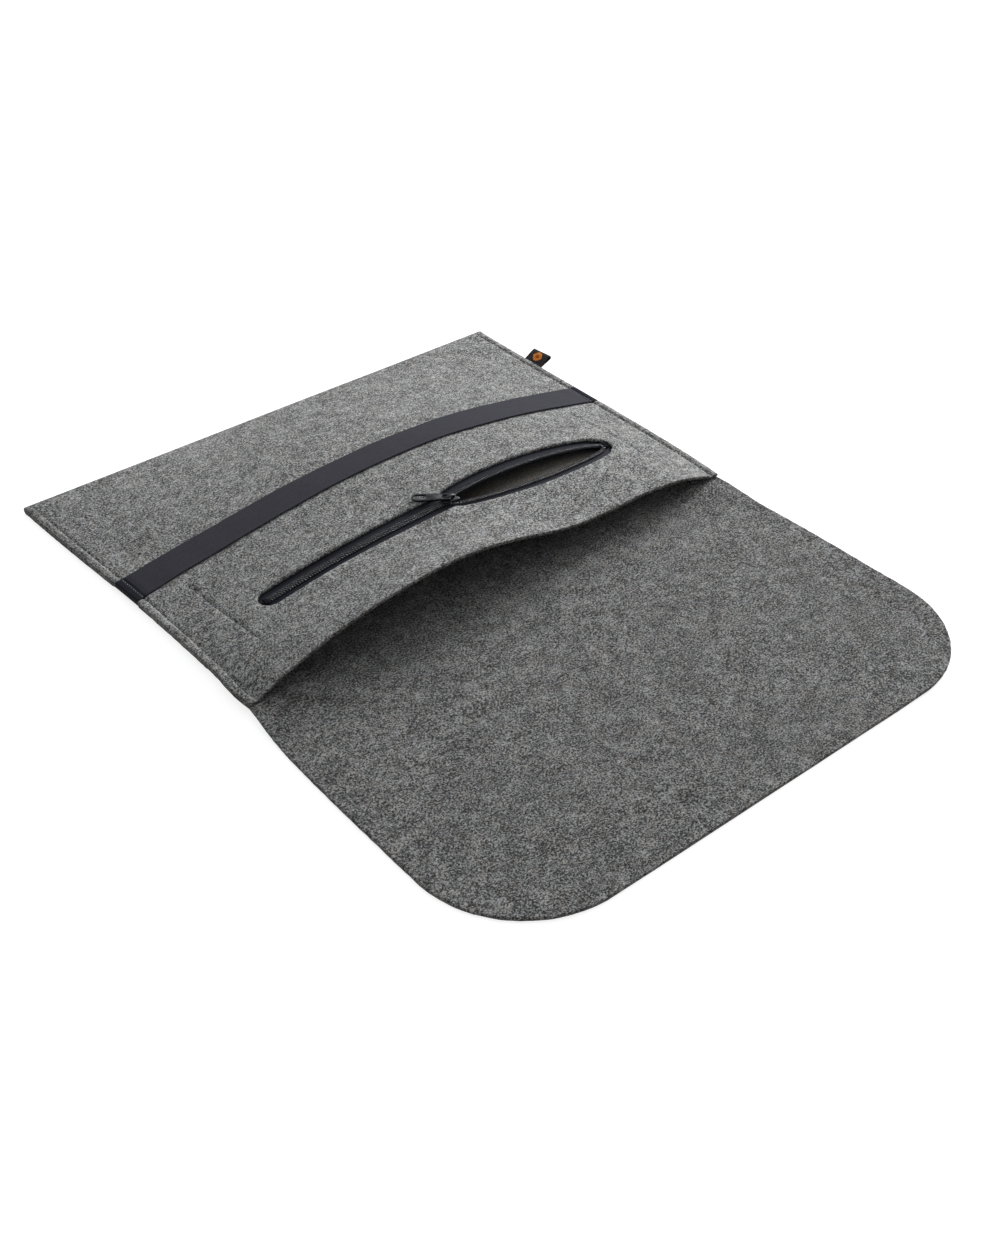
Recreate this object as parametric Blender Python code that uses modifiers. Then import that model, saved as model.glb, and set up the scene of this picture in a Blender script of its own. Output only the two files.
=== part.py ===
"""Felt laptop sleeve, lying open: a pouch with a fold-over flap, a zipped front pocket and an elastic band.

Metres, +Z up. The origin is the centre of the back panel's underside. The mouth is towards -Y, the closed
end towards +Y. Distances called v are measured from the mouth line towards the closed end.
"""
from math import cos, exp, pi, radians, sin

import bmesh
import bpy
from mathutils import Matrix, Vector

# ---- the pouch
BODY_WIDTH = 0.400
BODY_DEPTH = 0.270
FELT = 0.0025
GAP = 0.0003
SEAM_MARGIN = 0.007
SEAM_THREAD_INSET = 0.0055
MOUTH_DRAW_IN = 0.006
MOUTH_DRAW_IN_LENGTH = 0.045
SEAM_LIFT = 0.0042
SEAM_LIFT_START = 0.030
LIFT_INNER_X = 0.150
SEAM_STATIONS = (0.0003, 0.0075, 0.015, 0.0225, 0.030, 0.042, 0.056, 0.074, 0.095, 0.118, 0.137, 0.165,
                 0.195, 0.225, 0.248)
FOLD_RADIUS = FELT + GAP / 2
SEAM_TOP = 2 * FELT + GAP

# ---- the arch of the filled front panel
ARCH_HEIGHT = 0.0255
MOUTH_RISE = 0.0095
MOUTH_RISE_LENGTH = 0.028
DIP_DEPTH = 0.0174
DIP_X = 0.072
DIP_WIDTH = 0.072
DIP_LENGTH = 0.030

# ---- the flap
HINGE_V = -0.0045
SPINE_LENGTH = 0.045
FLAP_LENGTH = 0.236
FLAP_CORNER_RADIUS = 0.072

# ---- the zip and its slot
ZIP_V = 0.065
SLOT_LEFT_X = -0.143
SLOT_RIGHT_X = 0.150
SLOT_HALF = 0.009
LENS_START_X = 0.005
LENS_END_X = 0.143
LENS_UPPER = 0.008
LENS_LOWER = 0.012
TAPE_THICKNESS = 0.0006
TAPE_WIDTH = 0.015
TAPE_OVERRUN = 0.006
COIL_RADIUS = 0.0008
COIL_CENTRE = COIL_RADIUS + GAP / 2
COIL_END_INSET = 0.006
STOP_SIZE = (0.0024, 0.0050, 0.0016)

# ---- the slider and its pull tab
SLIDER_X = 0.006
SLIDER_LENGTH = 0.0105
SLIDER_WIDTH = 0.0088
PLATE = 0.0010
WEDGE_RADIUS = 0.0007
WEDGE_X = 0.0042
CROWN_HALF_SPAN = 0.0030
CROWN_WIRE = 0.0007
CROWN_ROOM = 0.0020
PULL_YAW = radians(145.0)
PULL_LENGTH = 0.025
PULL_WIDTH = 0.0080
PULL_THICKNESS = 0.0012
PULL_EYE_HALF = 0.0030
PULL_EYE_END = 0.0050
PULL_HOLE_HALF = 0.0024
PULL_HOLE_START = 0.0148
PULL_HOLE_END = 0.0222

# ---- the zipped pocket behind the front panel
POCKET_HALF = 0.172
POCKET_FRONT_V = 0.036
POCKET_BACK_V = 0.119
POCKET_DEPTH = 0.0095
POCKET_FELT = 0.0015
POCKET_MARGIN = 0.004
POCKET_SLOPE = 0.020

# ---- the elastic band
BAND_START_V = 0.1295
BAND_WIDTH = 0.025
BAND_THICKNESS = 0.0009
ANCHOR_LEG = 0.0085

# ---- the side label
LABEL_V = 0.1955
LABEL_WIDTH = 0.018
LABEL_LENGTH = 0.0135
LABEL_TILT = radians(30)
LABEL_THICKNESS = 0.0006
LABEL_LOOP_RADIUS = 0.0012

# ---- sewing thread
THREAD_RADIUS = 0.0003
THREAD_START_V = 0.006
THREAD_STEP_NEAR = 0.0008
THREAD_STEP_FAR = 0.0024

COLLECTION = "laptop_sleeve"


# ---- shape rules ---------------------------------------------------------------------------------------

def smooth(start, end, value):
    """Rise smoothly from 0 at start to 1 at end."""
    t = min(max((value - start) / (end - start), 0.0), 1.0)
    return t * t * (3 - 2 * t)


def span(start, end, count):
    """Evenly spaced values, both ends included."""
    return [start + (end - start) * i / (count - 1) for i in range(count)]


def to_y(v):
    return v - BODY_DEPTH / 2


def half_width(v):
    """Half the body's width: the filled mouth draws its side seams inwards."""
    return BODY_WIDTH / 2 - MOUTH_DRAW_IN * exp(-abs(v) / MOUTH_DRAW_IN_LENGTH)


def seam_lift(v):
    """How far the side seams are pulled up off the table."""
    depth = min(max(v / BODY_DEPTH, 0.0), 1.0)
    return SEAM_LIFT * (1 - depth) ** 1.5 * smooth(0, SEAM_LIFT_START, v)


def back_bottom(x, v):
    """Underside of the back panel: flat on the table, with lifted side edges."""
    return seam_lift(v) * smooth(LIFT_INNER_X, half_width(v) - SEAM_MARGIN, abs(x))


def panel_top(x, v):
    """Outer face of the arched front panel."""
    depth = min(max(v / BODY_DEPTH, 0.0), 1.0)
    u = min(max(x / (half_width(v) - SEAM_MARGIN), -1.0), 1.0)
    rise = ARCH_HEIGHT * (1 - depth ** 3) + MOUTH_RISE * exp(-(v / MOUTH_RISE_LENGTH) ** 2)
    rise += SEAM_LIFT * (1 - depth) ** 1.5 - seam_lift(v)
    roundness = 0.85 + 0.43 * smooth(0.050, 0.130, v)
    lean = -0.14 + 0.41 * smooth(0, 0.110, v)
    arch = rise * (1 - u * u) ** roundness * (1 + lean * u)
    dip = DIP_DEPTH * exp(-((x - DIP_X) / DIP_WIDTH) ** 2) * exp(-(v / DIP_LENGTH) ** 2) * (1 - u * u)
    return SEAM_TOP + seam_lift(v) + arch - dip


def lens(x):
    """Share of the zip's full opening at x: 0 where it is closed."""
    t = (x - LENS_START_X) / (LENS_END_X - LENS_START_X)
    return sin(pi * t) ** 0.5 if 0 < t < 1 else 0.0


def slot_edge(x, side):
    """Offset of the slot's edge from the zip line; side is 1 for the upper edge, -1 for the lower."""
    opening = LENS_UPPER if side > 0 else LENS_LOWER
    end = min(x - SLOT_LEFT_X, SLOT_RIGHT_X - x, SLOT_HALF)
    rounding = max(SLOT_HALF ** 2 - (SLOT_HALF - end) ** 2, 0.0) ** 0.5
    return side * (rounding + opening * lens(x))


def lip(x, side):
    """Offset of the zip tape's inner edge from the zip line."""
    opening = LENS_UPPER if side > 0 else LENS_LOWER
    return side * opening * lens(x)


def under_felt(x, v):
    """Underside of the front panel's felt, a gap lower."""
    return panel_top(x, v) - FELT - GAP


def pocket_top(x, v):
    """Inner face of the pocket backing, which hangs below the front panel like a shallow bag."""
    across = max(1 - (x / (POCKET_HALF - POCKET_MARGIN)) ** 2, 0.0) ** 0.8
    from_edge = min(v - POCKET_FRONT_V, POCKET_BACK_V - v) - POCKET_MARGIN
    along = min(max(from_edge / POCKET_SLOPE, 0.0), 1.0)
    return under_felt(x, v) - POCKET_DEPTH * across * along


# ---- helpers -------------------------------------------------------------------------------------------

def clear_scene():
    for item in list(bpy.data.objects):
        bpy.data.objects.remove(item, do_unlink=True)


def new_collection(name):
    made = bpy.data.collections.new(name)
    bpy.context.scene.collection.children.link(made)
    return made


def material(name, colour, roughness, metallic=0.0):
    made = bpy.data.materials.new(name)
    made.use_nodes = True
    shader = made.node_tree.nodes["Principled BSDF"]
    shader.inputs["Base Color"].default_value = (*colour, 1)
    shader.inputs["Roughness"].default_value = roughness
    shader.inputs["Metallic"].default_value = metallic
    return made


def add_object(name, data, look):
    made = bpy.data.objects.new(name, data)
    PARTS.objects.link(made)
    data.materials.append(look)
    return made


def add_cutter(name, data):
    made = bpy.data.objects.new(name, data)
    CUTTERS.objects.link(made)
    made.hide_render = True
    made.display_type = "WIRE"
    return made


def boolean(target, other, operation):
    cut = target.modifiers.new(operation.lower(), "BOOLEAN")
    cut.operation = operation
    cut.solver = "EXACT"
    cut.object = other


def grid_mesh(name, rows):
    """An open surface through rows of points, one row for each step along Y."""
    surface = bmesh.new()
    made = [[surface.verts.new(point) for point in row] for row in rows]
    for near, far in zip(made, made[1:]):
        for i in range(len(near) - 1):
            surface.faces.new((near[i], near[i + 1], far[i + 1], far[i]))
    mesh = bpy.data.meshes.new(name)
    surface.to_mesh(mesh)
    surface.free()
    return mesh


def sheet(name, rows, thickness, look, outwards=-1.0):
    """A surface with Solidify: its thickness lies below the points, or above them with outwards 1."""
    made = add_object(name, grid_mesh(name, rows), look)
    shell = made.modifiers.new("thickness", "SOLIDIFY")
    shell.thickness = thickness
    shell.offset = outwards
    shell.use_even_offset = True
    return made


def columns(half, count):
    """Positions across the body, closer together towards the seams, with a flat strip at each seam."""
    inner = half - SEAM_MARGIN
    arched = [inner * sin(pi / 2 * s) for s in span(-1, 1, count)]
    return [-half] + arched + [half]


def outline_curve(name, outlines, z, thickness):
    """A flat 2D curve of one or more closed outlines; the inner outlines are holes."""
    curve = bpy.data.curves.new(name, "CURVE")
    curve.dimensions = "2D"
    curve.fill_mode = "BOTH"
    curve.extrude = thickness / 2
    for outline in outlines:
        spline = curve.splines.new("POLY")
        spline.points.add(len(outline) - 1)
        for point, (x, y) in zip(spline.points, outline):
            point.co = (x, y, 0, 1)
        spline.use_cyclic_u = True
    return curve, z


def curve_to_mesh(name, curve, location):
    """The curve's closed mesh, with its caps welded on."""
    holder = bpy.data.objects.new(name + "_curve", curve)
    bpy.context.scene.collection.objects.link(holder)
    bpy.context.view_layer.update()
    shape = holder.evaluated_get(bpy.context.evaluated_depsgraph_get())
    mesh = bpy.data.meshes.new_from_object(shape)
    mesh.name = name
    bpy.data.objects.remove(holder, do_unlink=True)
    welded = bmesh.new()
    welded.from_mesh(mesh)
    bmesh.ops.remove_doubles(welded, verts=welded.verts, dist=0.00001)
    bmesh.ops.translate(welded, verts=welded.verts, vec=Vector(location))
    bmesh.ops.recalc_face_normals(welded, faces=welded.faces)
    welded.to_mesh(mesh)
    welded.free()
    return mesh


def tube(name, points, radius, resolution=1):
    """A wire along the points."""
    curve = bpy.data.curves.new(name, "CURVE")
    curve.dimensions = "3D"
    curve.bevel_depth = radius
    curve.bevel_resolution = resolution
    curve.use_fill_caps = True
    spline = curve.splines.new("POLY")
    spline.points.add(len(points) - 1)
    for point, place in zip(spline.points, points):
        point.co = (*place, 1)
    return curve


def box_object(name, centre, size, look):
    shape = bmesh.new()
    place = Matrix.Translation(centre) @ Matrix.Diagonal((*size, 1))
    bmesh.ops.create_cube(shape, size=1, matrix=place)
    mesh = bpy.data.meshes.new(name)
    shape.to_mesh(mesh)
    shape.free()
    add_object(name, mesh, look)


def arc(centre_x, centre_y, radius, start, end, count):
    """Points along an arc, angles in degrees."""
    angles = [radians(a) for a in span(start, end, count)]
    return [(centre_x + radius * cos(a), centre_y + radius * sin(a)) for a in angles]


def turned(along, rise, angle):
    """A profile point turned about the profile's start."""
    return (along * cos(angle) - rise * sin(angle), along * sin(angle) + rise * cos(angle))


# ---- felt ----------------------------------------------------------------------------------------------

def panel_stations():
    return list(SEAM_STATIONS) + [BODY_DEPTH - FOLD_RADIUS - GAP]


def make_back_panel():
    rows = []
    for v in [HINGE_V + GAP / 2] + panel_stations():
        inner = half_width(v) - SEAM_MARGIN
        across = [LIFT_INNER_X, (LIFT_INNER_X + inner) / 2, inner, half_width(v)]
        places = [-x for x in reversed(across)] + [0.0] + across
        rows.append([(x, to_y(v), back_bottom(x, v)) for x in places])
    sheet("back_panel", rows, FELT, FELT_LOOK, outwards=1.0)


def make_bottom_fold():
    """The strip's half-round turn at the closed end, from the back panel up to the front panel."""
    start_y = to_y(BODY_DEPTH) - FOLD_RADIUS
    outer = arc(start_y, FOLD_RADIUS, FOLD_RADIUS, -90, 90, 9)
    inner = arc(start_y, FOLD_RADIUS, GAP / 2, 90, -90, 5)
    curve, _ = outline_curve("bottom_fold", [outer + inner], 0, BODY_WIDTH)
    mesh = curve_to_mesh("bottom_fold", curve, (0, 0, 0))
    mesh.transform(Matrix.Rotation(pi / 2, 4, "Y") @ Matrix.Rotation(pi / 2, 4, "Z"))
    add_object("bottom_fold", mesh, FELT_LOOK)


def make_front_panel():
    rows = []
    for v in panel_stations():
        rows.append([(x, to_y(v), panel_top(x, v)) for x in columns(half_width(v), 23)])
    panel = sheet("front_panel", rows, FELT, FELT_LOOK)
    boolean(panel, slot_cutter(), "DIFFERENCE")


def slot_cutter():
    """The zip slot: two round ends, a straight closed half and an open half that bows like a lens."""
    ends = SLOT_HALF
    stations = span(SLOT_LEFT_X + ends, SLOT_RIGHT_X - ends, 19)
    left = [(SLOT_LEFT_X + ends - ends * sin(a), ends * cos(a)) for a in span(0, pi, 7)[1:-1]]
    right = [(SLOT_RIGHT_X - ends + ends * sin(a), ends * cos(a)) for a in span(pi, 0, 7)[1:-1]]
    upper = [(x, slot_edge(x, 1)) for x in reversed(stations)]
    lower = [(x, slot_edge(x, -1)) for x in stations]
    outline = [(x, to_y(ZIP_V) + offset) for x, offset in upper + left + lower + right]
    low = SEAM_TOP
    high = ARCH_HEIGHT + MOUTH_RISE + SEAM_TOP
    curve, _ = outline_curve("slot_cutter", [outline], 0, high - low)
    return add_cutter("slot_cutter", curve_to_mesh("slot_cutter", curve, (0, 0, (low + high) / 2)))


def make_flap_spine():
    """The part of the strip that stands up in front of the mouth when the flap is closed."""
    near = HINGE_V - GAP / 2
    far = HINGE_V - SPINE_LENGTH + GAP / 2
    right = [(half_width(v), to_y(v)) for v in span(near, far, 5)]
    left = [(-x, y) for x, y in reversed(right)]
    curve, z = outline_curve("flap_spine", [right + left], FELT / 2, FELT)
    add_object("flap_spine", curve_to_mesh("flap_spine", curve, (0, 0, z)), FELT_LOOK)


def make_flap():
    near = to_y(HINGE_V - SPINE_LENGTH - GAP / 2)
    far = to_y(-FLAP_LENGTH)
    half = BODY_WIDTH / 2
    centre_x = half - FLAP_CORNER_RADIUS
    centre_y = far + FLAP_CORNER_RADIUS
    corner = arc(centre_x, centre_y, FLAP_CORNER_RADIUS, 0, -90, 13)
    right = [(half_width(HINGE_V - SPINE_LENGTH), near)] + corner
    left = [(-x, y) for x, y in reversed(right)]
    curve, z = outline_curve("flap", [right + left], FELT / 2, FELT)
    add_object("flap", curve_to_mesh("flap", curve, (0, 0, z)), FELT_LOOK)


def make_pocket_backing():
    """The back wall of the zipped pocket, sewn to the inside of the front panel."""
    rows = []
    front_foot = POCKET_FRONT_V + POCKET_MARGIN
    back_foot = POCKET_BACK_V - POCKET_MARGIN
    floor = span(front_foot + POCKET_SLOPE, back_foot - POCKET_SLOPE, 3)
    for v in [POCKET_FRONT_V, front_foot] + floor + [back_foot, POCKET_BACK_V]:
        places = [POCKET_HALF * sin(pi / 2 * s) for s in span(-1, 1, 17)]
        rows.append([(x, to_y(v), pocket_top(x, v) - TAPE_THICKNESS - GAP) for x in places])
    sheet("pocket_backing", rows, POCKET_FELT, LINING_LOOK)


# ---- the zip -------------------------------------------------------------------------------------------

def coil_stations():
    return span(SLOT_LEFT_X + COIL_END_INSET, SLOT_RIGHT_X - COIL_END_INSET, 37)


def tape_stations():
    return span(SLOT_LEFT_X - TAPE_OVERRUN, SLOT_RIGHT_X + TAPE_OVERRUN, 41)


def make_zip_tape(side, name):
    """One woven tape: its inner edge carries the coil, its outer edge lies under the felt."""
    rows = []
    offsets = [COIL_CENTRE * 0.25, TAPE_WIDTH / 2, TAPE_WIDTH]
    if side < 0:
        offsets = [-offset for offset in reversed(offsets)]
    places = [(x, lip(x, side)) for x in tape_stations()]
    for offset in offsets:
        line = []
        for x, edge in places:
            v = ZIP_V + edge + offset
            line.append((x, to_y(v), under_felt(x, v)))
        rows.append(line)
    sheet(name, rows, TAPE_THICKNESS, TAPE_LOOK)


def coil_height(x, v):
    return under_felt(x, v) + GAP + COIL_RADIUS


def make_zip_coil(side, name):
    """One half of the coil, drawn as the solid cord that its turns fill."""
    points = []
    for x in coil_stations():
        v = ZIP_V + lip(x, side) + side * COIL_CENTRE
        points.append((x, to_y(v), coil_height(x, v)))
    mesh = curve_to_mesh(name, tube(name, points, COIL_RADIUS), (0, 0, 0))
    add_object(name, mesh, TAPE_LOOK)


def make_zip_stop(name, x, offset):
    v = ZIP_V + offset
    box_object(name, (x, to_y(v), coil_height(x, v) + GAP), STOP_SIZE, METAL_LOOK)


def make_zip_stops():
    left_x = SLOT_LEFT_X + COIL_END_INSET - STOP_SIZE[0] / 2 - GAP
    right_x = SLOT_RIGHT_X - COIL_END_INSET + STOP_SIZE[0] / 2 + GAP
    apart = STOP_SIZE[1] / 2 + GAP / 2
    make_zip_stop("zip_stop_bottom", left_x, 0.0)
    make_zip_stop("zip_stop_top_upper", right_x, apart)
    make_zip_stop("zip_stop_top_lower", right_x, -apart)


def slider_level():
    """Height of the coil's centre line under the slider."""
    return coil_height(SLIDER_X, ZIP_V)


def slider_outline():
    """A shield: round at the closed side, broad where the two halves enter."""
    half = SLIDER_WIDTH / 2
    nose = half * 0.62
    rear = -SLIDER_LENGTH / 2
    front = SLIDER_LENGTH / 2
    upper = [(rear, nose), (0.0, half * 0.86), (front * 0.5, half), (front - 0.001, half), (front, half * 0.75)]
    lower = [(x, -y) for x, y in reversed(upper)]
    return [(SLIDER_X + x, to_y(ZIP_V) + y) for x, y in lower + upper]


def make_zip_slider():
    """Two plates over and under the coils, a wedge between the halves and a crown for the pull."""
    level = slider_level()
    upper_z = level + COIL_RADIUS + GAP + PLATE / 2
    lower_z = level - COIL_RADIUS - 2 * GAP - TAPE_THICKNESS - PLATE / 2
    curve, _ = outline_curve("zip_slider", [slider_outline()], 0, PLATE)
    slider = add_object("zip_slider", curve_to_mesh("zip_slider", curve, (0, 0, upper_z)), METAL_LOOK)
    curve, _ = outline_curve("slider_lower_plate", [slider_outline()], 0, PLATE)
    lower = add_cutter("slider_lower_plate", curve_to_mesh("slider_lower_plate", curve, (0, 0, lower_z)))
    boolean(slider, lower, "UNION")
    y = to_y(ZIP_V) + (LENS_UPPER - LENS_LOWER) / 2 * lens(SLIDER_X + WEDGE_X)
    wedge_ends = [(SLIDER_X + WEDGE_X, y, lower_z), (SLIDER_X + WEDGE_X, y, upper_z)]
    wedge = curve_to_mesh("slider_wedge", tube("slider_wedge", wedge_ends, WEDGE_RADIUS), (0, 0, 0))
    boolean(slider, add_cutter("slider_wedge", wedge), "UNION")
    crown = curve_to_mesh("slider_crown", tube("slider_crown", crown_points(upper_z), CROWN_WIRE), (0, 0, 0))
    boolean(slider, add_cutter("slider_crown", crown), "UNION")


def crown_points(plate_z):
    top = plate_z + PLATE / 2 + CROWN_ROOM + CROWN_WIRE
    y = to_y(ZIP_V)
    rear = SLIDER_X - CROWN_HALF_SPAN
    front = SLIDER_X + CROWN_HALF_SPAN
    return [(rear, y, plate_z), (rear, y, top), (front, y, top), (front, y, plate_z)]


def pull_axis_z():
    return slider_level() + COIL_RADIUS + GAP + PLATE + CROWN_ROOM / 2


def make_zip_pull():
    """The pull tab, with an eye round the crown and a long hole near its free end."""
    half = PULL_WIDTH / 2
    start = -PULL_THICKNESS / 2
    tip = arc(PULL_LENGTH - half, 0, half, -90, 90, 9)
    body = [(start, -half), (start + PULL_EYE_END, -half)] + tip + [(start, half)]
    eye_start = PULL_THICKNESS / 2
    eye = [(eye_start, -PULL_EYE_HALF), (PULL_EYE_END, -PULL_EYE_HALF),
           (PULL_EYE_END, PULL_EYE_HALF), (eye_start, PULL_EYE_HALF)]
    hole = arc(PULL_HOLE_END - PULL_HOLE_HALF, 0, PULL_HOLE_HALF, -90, 90, 7)
    hole += arc(PULL_HOLE_START + PULL_HOLE_HALF, 0, PULL_HOLE_HALF, 90, 270, 7)
    curve, _ = outline_curve("zip_pull", [body, eye, hole], 0, PULL_THICKNESS)
    pull = add_object("zip_pull", curve_to_mesh("zip_pull", curve, (0, 0, 0)), METAL_LOOK)
    pull.location = (SLIDER_X, to_y(ZIP_V), pull_axis_z())
    pull.rotation_euler = (0, 0, PULL_YAW)


# ---- the band, the label and the stitches --------------------------------------------------------------

def make_elastic_band():
    """The band across the front panel, between its two sewn ends."""
    rows = []
    for v in span(BAND_START_V, BAND_START_V + BAND_WIDTH, 3):
        half = half_width(v) - ANCHOR_LEG
        places = [half * sin(pi / 2 * s) for s in span(-1, 1, 25)]
        rows.append([(x, to_y(v), panel_top(x, v) + GAP) for x in places])
    sheet("elastic_band", rows, BAND_THICKNESS, BAND_LOOK, outwards=1.0)


def make_band_anchor(side, name):
    """The band's end, turned round the side seam and sewn through it."""
    rows = []
    for v in span(BAND_START_V, BAND_START_V + BAND_WIDTH, 2):
        edge = half_width(v) + GAP
        inner = edge - ANCHOR_LEG
        top = SEAM_TOP + seam_lift(BAND_START_V) + GAP
        bottom = seam_lift(BAND_START_V + BAND_WIDTH) - GAP
        profile = [(inner, top), (edge, top), (edge, bottom), (inner, bottom)]
        rows.append([(side * x, to_y(v), z) for x, z in profile])
    if side < 0:
        rows = [list(reversed(row)) for row in rows]
    sheet(name, rows, BAND_THICKNESS, BAND_LOOK, outwards=1.0)


def anchor_top():
    return SEAM_TOP + seam_lift(BAND_START_V) + GAP + BAND_THICKNESS


def make_side_label():
    """A folded label strip that stands out of the right side seam and tilts up."""
    v_middle = LABEL_V + LABEL_WIDTH / 2
    root = half_width(v_middle) + 2 * GAP
    pinch = LABEL_THICKNESS + GAP / 2
    root_z = SEAM_TOP / 2 + seam_lift(v_middle) + pinch
    turn = arc(LABEL_LENGTH - LABEL_LOOP_RADIUS, -pinch, LABEL_LOOP_RADIUS, 90, -90, 9)
    profile = [(0, 0)] + turn + [(0, -2 * pinch)]
    rows = []
    for v in span(LABEL_V, LABEL_V + LABEL_WIDTH, 2):
        tilted = [turned(along, rise, LABEL_TILT) for along, rise in profile]
        rows.append([(root + x, to_y(v), root_z + z) for x, z in tilted])
    sheet("side_label", rows, LABEL_THICKNESS, LABEL_LOOK)


def thread_place(side, v, top):
    x = side * (half_width(v) - SEAM_THREAD_INSET)
    return (x, to_y(v), top + GAP + THREAD_RADIUS)


def make_seam_thread(side, name):
    """The thread that closes one side of the pouch, and climbs over the band's sewn end."""
    band_end = BAND_START_V + BAND_WIDTH
    before = [v for v in panel_stations() if THREAD_START_V < v < BAND_START_V]
    after = [v for v in panel_stations() if v > band_end + THREAD_STEP_FAR]
    points = [thread_place(side, v, SEAM_TOP + seam_lift(v)) for v in before]
    foot = BAND_START_V - THREAD_STEP_FAR
    points.append(thread_place(side, foot, SEAM_TOP + seam_lift(foot)))
    points.append(thread_place(side, BAND_START_V - THREAD_STEP_NEAR, anchor_top()))
    points.append(thread_place(side, band_end + THREAD_STEP_NEAR, anchor_top()))
    foot = band_end + THREAD_STEP_FAR
    points.append(thread_place(side, foot, SEAM_TOP + seam_lift(foot)))
    points += [thread_place(side, v, SEAM_TOP + seam_lift(v)) for v in after]
    add_object(name, curve_to_mesh(name, tube(name, points, THREAD_RADIUS), (0, 0, 0)), THREAD_LOOK)


def make_pocket_thread(side, name):
    """The row of sewing that holds one side of the pocket backing."""
    x = side * (POCKET_HALF - POCKET_MARGIN / 2)
    places = span(POCKET_FRONT_V, POCKET_BACK_V, 12)
    points = [(x, to_y(v), panel_top(x, v) + GAP + THREAD_RADIUS) for v in places]
    add_object(name, curve_to_mesh(name, tube(name, points, THREAD_RADIUS), (0, 0, 0)), THREAD_LOOK)


clear_scene()
PARTS = new_collection(COLLECTION)
CUTTERS = new_collection("cutters")
FELT_LOOK = material("grey_felt", (0.16, 0.16, 0.15), 0.95)
LINING_LOOK = material("dark_felt", (0.08, 0.08, 0.08), 0.95)
TAPE_LOOK = material("black_zip", (0.012, 0.012, 0.014), 0.7)
BAND_LOOK = material("charcoal_elastic", (0.05, 0.05, 0.055), 0.8)
METAL_LOOK = material("gunmetal", (0.06, 0.06, 0.06), 0.35, metallic=0.9)
LABEL_LOOK = material("black_label", (0.02, 0.02, 0.022), 0.75)
THREAD_LOOK = material("grey_thread", (0.07, 0.07, 0.07), 0.8)

make_back_panel()
make_bottom_fold()
make_front_panel()
make_flap_spine()
make_flap()
make_pocket_backing()
make_zip_tape(1, "zip_tape_upper")
make_zip_tape(-1, "zip_tape_lower")
make_zip_coil(1, "zip_coil_upper")
make_zip_coil(-1, "zip_coil_lower")
make_zip_stops()
make_zip_slider()
make_zip_pull()
make_elastic_band()
make_side_label()
for sign, side_name in ((-1, "left"), (1, "right")):
    make_band_anchor(sign, "band_anchor_" + side_name)
    make_seam_thread(sign, "seam_thread_" + side_name)
    make_pocket_thread(sign, "pocket_thread_" + side_name)
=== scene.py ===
"""The looks of the felt laptop sleeve: felt, zip, elastic band and label, built round the frame."""
from math import copysign, cos, exp, pi, radians, sin

import bmesh
import bpy
import numpy as np
from mathutils import Matrix, Vector, noise
from mathutils.geometry import delaunay_2d_cdt


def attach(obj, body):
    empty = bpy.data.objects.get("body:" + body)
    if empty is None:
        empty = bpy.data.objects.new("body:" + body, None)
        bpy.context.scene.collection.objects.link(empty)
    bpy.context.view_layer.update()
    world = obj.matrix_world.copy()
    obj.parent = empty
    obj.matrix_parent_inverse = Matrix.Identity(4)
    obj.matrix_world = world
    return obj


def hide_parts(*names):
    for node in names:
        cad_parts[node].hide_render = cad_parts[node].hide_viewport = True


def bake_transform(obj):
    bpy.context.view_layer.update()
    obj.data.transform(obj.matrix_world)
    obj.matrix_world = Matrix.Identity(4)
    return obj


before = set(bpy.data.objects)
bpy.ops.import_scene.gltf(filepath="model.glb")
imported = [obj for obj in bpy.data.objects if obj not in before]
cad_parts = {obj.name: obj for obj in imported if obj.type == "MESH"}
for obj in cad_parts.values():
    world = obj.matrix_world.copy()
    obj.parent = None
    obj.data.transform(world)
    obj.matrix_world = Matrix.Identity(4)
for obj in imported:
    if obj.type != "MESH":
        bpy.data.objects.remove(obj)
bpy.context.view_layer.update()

MM = 0.001

# ---- the pouch; v is the distance from the mouth towards the closed end
BODY_WIDTH = 0.400
BODY_DEPTH = 0.270
FELT = 0.0025
GAP = 0.0003
SEAM_MARGIN = 0.007
MOUTH_DRAW_IN = 0.006
MOUTH_DRAW_IN_LENGTH = 0.045
LEFT_DRAW_IN = 0.0064
LEFT_DRAW_V = 0.105
LEFT_DRAW_LENGTH = 0.115
LEFT_DRAW_START_X = -0.148
SEAM_LIFT = 0.0042
CORNER_FALL = 0.050
LIFT_INNER_X = 0.150
FOLD_RADIUS = FELT + GAP / 2
SEAM_TOP = 2 * FELT + GAP
ARCH_HEIGHT = 0.0255
MOUTH_RISE = 0.0095
MOUTH_RISE_LENGTH = 0.028
DIP_DEPTH = 0.0174
DIP_X = 0.072
DIP_WIDTH = 0.072
DIP_LENGTH = 0.030
FRONT_LENGTH = BODY_DEPTH - FOLD_RADIUS
FOLD_LENGTH = pi * FOLD_RADIUS
MOUTH_ROUNDNESS = 0.85
ADDED_ROUNDNESS = 0.43
ROUNDING_START_V = 0.050
ROUNDING_END_V = 0.130
MOUTH_LEAN = -0.14
ADDED_LEAN = 0.41
LEAN_END_V = 0.110

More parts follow.
